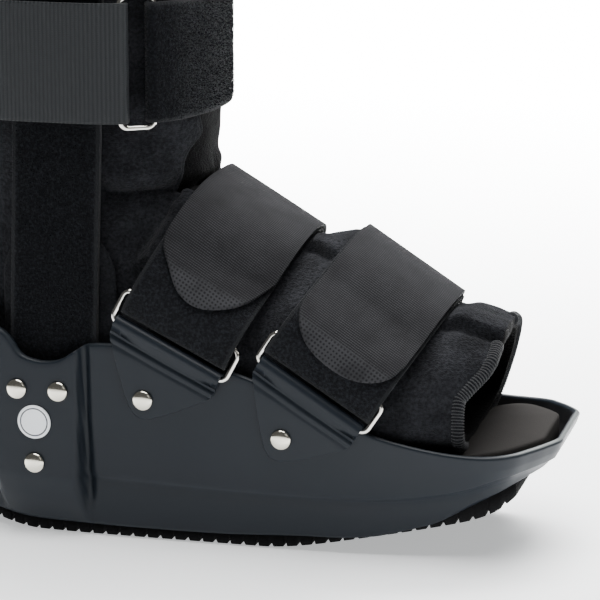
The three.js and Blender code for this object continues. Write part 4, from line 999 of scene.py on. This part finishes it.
BARS = [ring_bars(strap) for strap in FOOT_STRAPS]
tab_trees = {}
for n, strap in enumerate(FOOT_STRAPS):
    f, low, high, drop, rise = BARS[n]
    for name, side in (("near", -1), ("far", 1)):
        grid = []
        for s in np.sin(np.linspace(-1, 1, 49) * math.pi / 2) * 0.5:
            c = s * TAB["width"]
            reach = math.hypot(c - TAB["tip"], TAB["round"]) - TAB["round"]
            slope = TAB["depth"] * 0.76 / (TAB["width"] / 2 - TAB["round"] * 0.6)
            foot = min(-TAB["depth"] + reach * slope, -TAB["back"])
            radius = WIRE / 2 + SLACK + TAB["sheet"] / 2
            neck = drop - radius * 1.5
            path = []
            for up in np.linspace(foot, neck - 1, 44):
                spot = f.at(c, 0, up)
                out = wall_at(spot[0], spot[2]) + SLACK + TAB["sheet"] * 1.5 + CLEAR
                groove = 0.55 * math.exp(-((up + 9.5) / 0.9) ** 2)
                groove += 0.42 * math.exp(-((up + 12.9) / 0.9) ** 2)
                path.append((out - groove + 0.35 * math.exp(-((up + 11.2) / 1.0) ** 2), up))
            path += turn_round(low(c), drop, radius, -25, 180, 20)
            path += [(low(c) - radius, drop - radius), (low(c) - radius, max(foot, -TAB["back"]) - 0.5)]
            grid.append([f.at(c, side * out, up) for out, up in path])
        tab = sheet(f"strap_tab_{name}_{n + 1}_moulded", grid, TAB["sheet"], soft=0.5)
        settle(tab, plastic, "shell", f"strap_tab_{name}_{n + 1}")
        tab_trees[name, n] = ray_tree(tab)


# Rings: rectangles of bright nickel-plated wire, one in the fold of each tab.
# The strap turns back round the upper bar of each.
def ring_line(length, height, corner):
    a, b = (length - WIRE) / 2, (height - WIRE) / 2
    line = []
    for x, y, first in ((a - corner, -b + corner, -90), (a - corner, b - corner, 0),
                        (-a + corner, b - corner, 90), (-a + corner, -b + corner, 180)):
        turn = np.radians(np.linspace(first, first + 90, 9))
        line += [(x + corner * math.cos(t), y + corner * math.sin(t)) for t in turn]
    return line


wire, tree, shader = surface("nickel", (0.75, 0.73, 0.68), 0.13, Metallic=1.0)
for n, strap in enumerate(FOOT_STRAPS):
    f, low, high, drop, rise = BARS[n]
    for name, side in (("near", -1), ("far", 1)):
        path = []
        for c, up in ring_line(RING["length"], RING["height"], RING["corner"]):
            t = up / (rise - drop) + 0.5
            path.append(f.at(c, side * (low(c) * (1 - t) + high(c) * t), (drop + rise) / 2 + up))
        ring = tube(f"wire_ring_{name}_{n + 1}", path, WIRE / 2, sides=16, closed=True, facing=(0, 1, 0))
        settle(ring, wire, "wire", f"foot_ring_{name}_{n + 1}")


# Foot straps: 50 mm bands of loop pile from the near ring to the far one and a woven band
# brought back over them, its rounded tip fastened to the pile on the near side.
def strap_arch(strap, c, offset):
    t = min(max((c + EDGE) / (2 * EDGE), 0), 1)
    half, mid, arch, ease = (a + (b - a) * t for a, b in zip(strap["rear"], strap["front"]))
    top = strap["rise"] * LINER_TOP - STACK
    wide, level = (half + ease) * LINER_HALF + offset, mid * top

    def at(turn):
        return (wide * max(math.cos(turn), 0) ** (2 / arch),
                level + (top + offset - level) * max(math.sin(turn), 0) ** (2 / arch))

    return at


def flank(strap, rise, c, offset, reach, lift):
    arch = strap_arch(strap, c, offset)

    def drawn(turn):
        out, up = arch(turn)
        return out + (1 - float(smooth(up, rise, rise + 26))) * max(reach - out, 0), up

    def at(turn):
        out, up = drawn(turn)
        low, high = drawn(max(turn - 0.02, 0.001)), drawn(min(turn + 0.02, math.pi / 2))
        run = math.hypot(high[0] - low[0], high[1] - low[1]) or 1
        return out + lift * (high[1] - low[1]) / run, up - lift * (high[0] - low[0]) / run

    return at


def flank_spots(at, end_up, steps):
    below, above = 0.001, math.pi / 2
    for _ in range(24):
        middle = (below + above) / 2
        below, above = (middle, above) if at(middle)[1] < end_up else (below, middle)
    return even(np.array([at(t) for t in np.linspace(above, math.pi / 2, 3 * steps)]), steps)


def over_foot(near, near_end, far, far_end, steps):
    first = flank_spots(near, near_end, steps) * (-1, 1)
    return [tuple(p) for p in first] + [tuple(p) for p in flank_spots(far, far_end, steps)[::-1][1:]]


PILE_OUT = CLEAR + PILE / 2
LAYER = PILE / 2 + SLACK + WEB / 2
HOOK_SLACK = 6.5
# outline of each tip: place across, height over the fold
TIPS = [[(-25.4, 39), (-23.3, 34.2), (-17.2, 28.9), (-7.4, 21.9), (2.1, 20.2), (12.4, 24), (20, 29.9),
         (25.4, 39)],
        [(-25.4, 28), (-23.7, 23.6), (-15, 16.5), (-5, 13.6), (8.2, 13.7), (17.4, 17.4), (23.7, 23.4),
         (25.4, 29)]]


def weave_material(name, dark, light):
    """Fine cross ribs, with a coarse open mesh near the tip."""
    material, tree, shader = surface(name, dark, 0.8, Specular_IOR_Level=0.08)
    flat = put(tree, "ShaderNodeUVMap", uv_map="flat").outputs["UV"]
    spot = put(tree, "ShaderNodeTexCoord").outputs["Object"]
    warp, weft = (wave_map(tree, flat, 189.0, way) for way in "XY")
    holes = put(tree, "ShaderNodeMath", {0: warp, 1: weft}, operation="MULTIPLY").outputs[0]
    mesh_holes = put(tree, "ShaderNodeMath", {0: 1.0, 1: holes}, operation="SUBTRACT").outputs[0]
    weft = wave_map(tree, flat, 330.0, "Y")
    weft = put(tree, "ShaderNodeMapRange", {"Value": weft, "To Min": 0.45}).outputs[0]
    ribs = put(tree, "ShaderNodeMath", {0: wave_map(tree, flat, 296.0, "X", Distortion=1.2), 1: weft},
               operation="MULTIPLY").outputs[0]
    pattern = put(tree, "ShaderNodeMix", {0: mask(tree, "tip"), 2: ribs, 3: mesh_holes}).outputs[0]
    shade = put(tree, "ShaderNodeMath", {0: pattern, 1: noise_map(tree, spot, 90.0, 4.0)},
                operation="MULTIPLY").outputs[0]
    shade = put(tree, "ShaderNodeMapRange", {"Value": shade, "From Min": 0.02, "From Max": 0.5}).outputs[0]
    tree.links.new(mixed(tree, shade, dark, light), shader.inputs["Base Color"])
    tree.links.new(bumped(tree, pattern, 0.35, 0.0004), shader.inputs["Normal"])
    return material


weave = weave_material("woven_strap", (0.009, 0.009, 0.010), (0.033, 0.0335, 0.0365))
for n, strap in enumerate(FOOT_STRAPS):
    f, low, high, drop, rise = BARS[n]
    grid = []
    for c in (np.sin(np.linspace(-1, 1, 29) * math.pi / 2) * 0.5 * (STRAP_WIDTH + (2.4 if n else 0))):
        radius = WIRE / 2 + SLACK + PILE / 2
        hook = [(-out, up) for out, up in turn_round(high(c), rise - HOOK_SLACK, radius, -175, 0, 14)]
        hook += [(-high(c) - radius, up) for up in np.linspace(rise - HOOK_SLACK, rise, 8)[1:]]
        near = flank(strap, rise, c, PILE_OUT, high(c) + radius, 0)
        far = flank(strap, rise, c, PILE_OUT, high(c) - radius, 0)
        grid.append([f.at(c, out, up) for out, up in hook + over_foot(near, rise + 0.6, far, rise - 1, 60)])
    band = sheet(f"foot_strap_{n + 1}_loops", grid, PILE - 0.2)
    settle(band, pile, "loop_pile", f"foot_strap_{n + 1}_pile")
    with_pile(band, 2.2e6, 21 + n)
    outline = spline(TIPS[n], 60)
    lowest = outline[:, 1].min()
    grid, tips, flat = [], [], []
    for c in np.sin(np.linspace(-1, 1, 41) * math.pi / 2) * 0.5 * STRAP_WIDTH:
        radius = WIRE / 2 + SLACK + WEB / 2
        tip = float(np.interp(c, outline[:, 0], outline[:, 1]))
        hook = turn_round(high(c), rise, radius, -80, 0, 10)[::-1]
        near = flank(strap, rise, c, PILE_OUT, high(c) + WIRE / 2 + SLACK + PILE / 2, LAYER)
        far = flank(strap, rise, c, PILE_OUT + LAYER, high(c) + radius, 0)
        spots = over_foot(near, tip, far, rise + 1.5, 80)
        spots = np.array(spots + hook)
        grid.append([f.at(c, out, up) for out, up in spots])
        run = np.concatenate(([0], np.cumsum(np.linalg.norm(np.diff(spots, axis=0), axis=1))))
        tips.append(1 - smooth(spots[:, 1], lowest + 8, lowest + 11))
        flat += [((r - run[80]) / 1000, c / 1000) for r in run]
    band = sheet(f"foot_strap_{n + 1}_woven", grid, WEB - 0.1, flat=np.array(flat))
    attribute(band, "tip", np.tile(np.array(tips).ravel(), 2))
    settle(band, weave, "woven_strap", f"foot_strap_{n + 1}_web")


# Leg strap: ribbed webbing from the near ring round the back and a band of loop pile round the
# front, joined on the far side; both are sewn round the bars of a square nickel ring.
LEG = {"bottom": 184.0, "deep": 0.21 * LENGTH, "wide": LINER_HALF + 7.8, "centre": -0.0078 * LENGTH,
       "round": 2.4, "lift": 1.0}
REAR_TURN, FRONT_TURN, WRAP_START, WRAP_END = (math.radians(a) for a in (-62, -47, 105, 62))


def leg_spot(turn, offset):
    return np.array((LEG["centre"] + (LEG["deep"] + offset) * power(math.cos(turn), 2 / LEG["round"]),
                     (LEG["wide"] + offset) * power(math.sin(turn), 2 / LEG["round"])))


def leg_hook(turn, offset, thick, way):
    here, ahead = leg_spot(turn, offset), leg_spot(turn + 0.01 * way, offset)
    run = (ahead - here) / np.linalg.norm(ahead - here)
    out = here / np.linalg.norm(here)
    out = out - (out @ run) * run
    out /= np.linalg.norm(out)
    hook = turn_round(0, 0, WIRE / 2 + SLACK + thick / 2, -80, 90, 14)
    return [here + run * a + out * b for a, b in hook]


def leg_band(name, spots, thick):
    grid = [[(p[0], p[1], LEG["bottom"] + share * STRAP_WIDTH) for p in spots]
            for share in (np.sin(np.linspace(-1, 1, 21) * math.pi / 2) + 1) / 2]
    return sheet(name, grid, thick)


near_lift = LEG["lift"] + WIRE / 2 + SLACK
turns = np.linspace(REAR_TURN - 0.09, WRAP_END - 2 * math.pi, 180)
spots = leg_hook(REAR_TURN, LEG["lift"], WEB, 1) + [
    leg_spot(t, (1 - float(smooth(t + 2 * math.pi, WRAP_START, WRAP_START + 0.35))) * LAYER
             + float(smooth(t, REAR_TURN - 0.5, REAR_TURN - 0.1)) * near_lift) for t in turns]
web = leg_band("leg_strap_ribbed", spots, WEB - 0.1)
webbing, tree, shader = surface("ribbed_webbing", (0.03, 0.036, 0.044), 0.6, Specular_IOR_Level=0.25)
flat = put(tree, "ShaderNodeUVMap", uv_map="flat").outputs["UV"]
ribs = wave_map(tree, flat, 174.5, "X", Distortion=0.4)
threads = wave_map(tree, flat, 420.0, "Y")
height = put(tree, "ShaderNodeMath", {0: threads, 1: 0.3, 2: ribs}, operation="MULTIPLY_ADD").outputs[0]
tree.links.new(bumped(tree, height, 0.5, 0.0006), shader.inputs["Normal"])
colour = mixed(tree, ribs, (0.010, 0.0115, 0.0131), (0.018, 0.0202, 0.0226))
tree.links.new(colour, shader.inputs["Base Color"])
settle(web, webbing, "ribbed_webbing", "leg_strap_web")

turns = np.linspace(FRONT_TURN + 0.1, WRAP_START, 150)
spots = leg_hook(FRONT_TURN, LEG["lift"], PILE, -1) + [
    leg_spot(t, (1 - float(smooth(t, FRONT_TURN + 0.1, FRONT_TURN + 0.5))) * near_lift) for t in turns]
band = leg_band("leg_strap_loops", spots, PILE - 0.2)
settle(band, pile, "loop_pile", "leg_strap_pile")
with_pile(band, 2.2e6, 31)

rear, front = leg_spot(REAR_TURN, LEG["lift"]), leg_spot(FRONT_TURN, LEG["lift"])
run = front - rear
span = np.linalg.norm(run)
run, middle = run / span, (rear + front) / 2
path = [(*(middle + run * up), LEG["bottom"] + STRAP_WIDTH / 2 + c)
        for c, up in ring_line(RING["length"], span + WIRE, RING["corner"])]
ring = tube("wire_ring_leg", path, WIRE / 2, sides=16, closed=True, facing=(0, 1, 0))
settle(ring, wire, "wire", "leg_ring")
bpy.data.objects.remove(fibre)


# Rivets: domed nickel heads through the stays and the tabs, and a plain white disc on the panel.
# Each sits square to the face that a ray from outside meets; the disc has one thin ring line.
def seat_on(tree, x, z, side):
    def hit(dx, dz):
        start = Vector(metres((x + dx, side * WIDTH, z + dz)))
        return np.array(tree.ray_cast(start, Vector((0, -side, 0)))[0])

    normal = np.cross(hit(3, 0) - hit(-3, 0), hit(0, 3) - hit(0, -3))
    normal /= np.linalg.norm(normal)
    return hit(0, 0), normal * (1 if normal[1] * side > 0 else -1)


def lathe(name, seat, rows, sides=48):
    """Rings of radius and height in millimetres, turned about the normal of a seat."""
    point, normal = seat
    first = np.cross(normal, (0, 0, 1))
    first /= np.linalg.norm(first)
    second = np.cross(normal, first)
    turn = np.arange(sides) / sides * 2 * math.pi
    spoke = np.cos(turn)[:, None] * first + np.sin(turn)[:, None] * second
    rings = [point + (r * spoke + h * normal) / 1000 for r, h in rows]
    obj = grid_mesh(name, rings, wrap=True, caps=True, uv=False)
    attribute(obj, "radius", np.repeat([r for r, h in rows], sides))
    return outward(obj)


rivet, tree, shader = surface("rivet_nickel", (0.75, 0.72, 0.62), 0.16, Metallic=1.0)
dome = [(4.45, 0.3), (4.5, 0.5)]
dome += [(4.5 * math.cos(t), 0.6 + 1.8 * math.sin(t)) for t in np.linspace(0.1, 1.5, 12)]
for name, side in (("near", -1), ("far", 1)):
    for n, (share, up) in enumerate(((0.214, 0.647), (0.277, 0.646), (0.2385, 0.333))):
        seat = seat_on(shell_tree, along(share), up * RIM_UP, side)
        head = lathe(f"rivet_head_{name}_{n + 1}", seat, dome)
        settle(head, rivet, "rivet", f"upright_rivet_{name}_{n + 1}")
    for n, strap in enumerate(FOOT_STRAPS):
        spot = StrapFrame(strap).at(0, 0, -strap["rivet"] * TAB["depth"])
        head = lathe(f"rivet_tab_{name}_{n + 1}", seat_on(tab_trees[name, n], spot[0], spot[2], side), dome)
        settle(head, rivet, "rivet", f"tab_rivet_{name}_{n + 1}")
disc = lathe("size_button", seat_on(shell_tree, along(0.24), 0.51 * RIM_UP, -1),
             [(7.4, 0.3), (7.5, 0.45), (7.4, 0.85), (6.4, 0.9), (6.2, 0.9), (5.9, 0.9), (5.7, 0.9), (3, 0.9),
              (0.1, 0.9)])
label, tree, shader = surface("label", (0.9, 0.93, 0.96), 0.4)
near_line = put(tree, "ShaderNodeMath", {0: mask(tree, "radius"), 1: 6.05, 2: 0.3},
                operation="COMPARE").outputs[0]
tree.links.new(mixed(tree, near_line, (0.9, 0.93, 0.96), (0.05, 0.055, 0.07)), shader.inputs["Base Color"])
settle(disc, label, "label", "size_label")


# Floor: a seamless pale sheet under the boot, half a millimetre below its sole.
# It glows a little, as a backlit paper sweep does.
bpy.ops.mesh.primitive_plane_add(size=8, location=(0, 0, -0.0005))
floor = bpy.context.active_object
floor.name = "floor"
paper, tree, shader = surface("paper", (0.94, 0.95, 0.955), 0.8, Specular_IOR_Level=0.1,
                              Emission_Strength=0.55)
shader.inputs["Emission Color"].default_value = (0.97, 0.99, 1, 1)
floor.data.materials.append(paper)
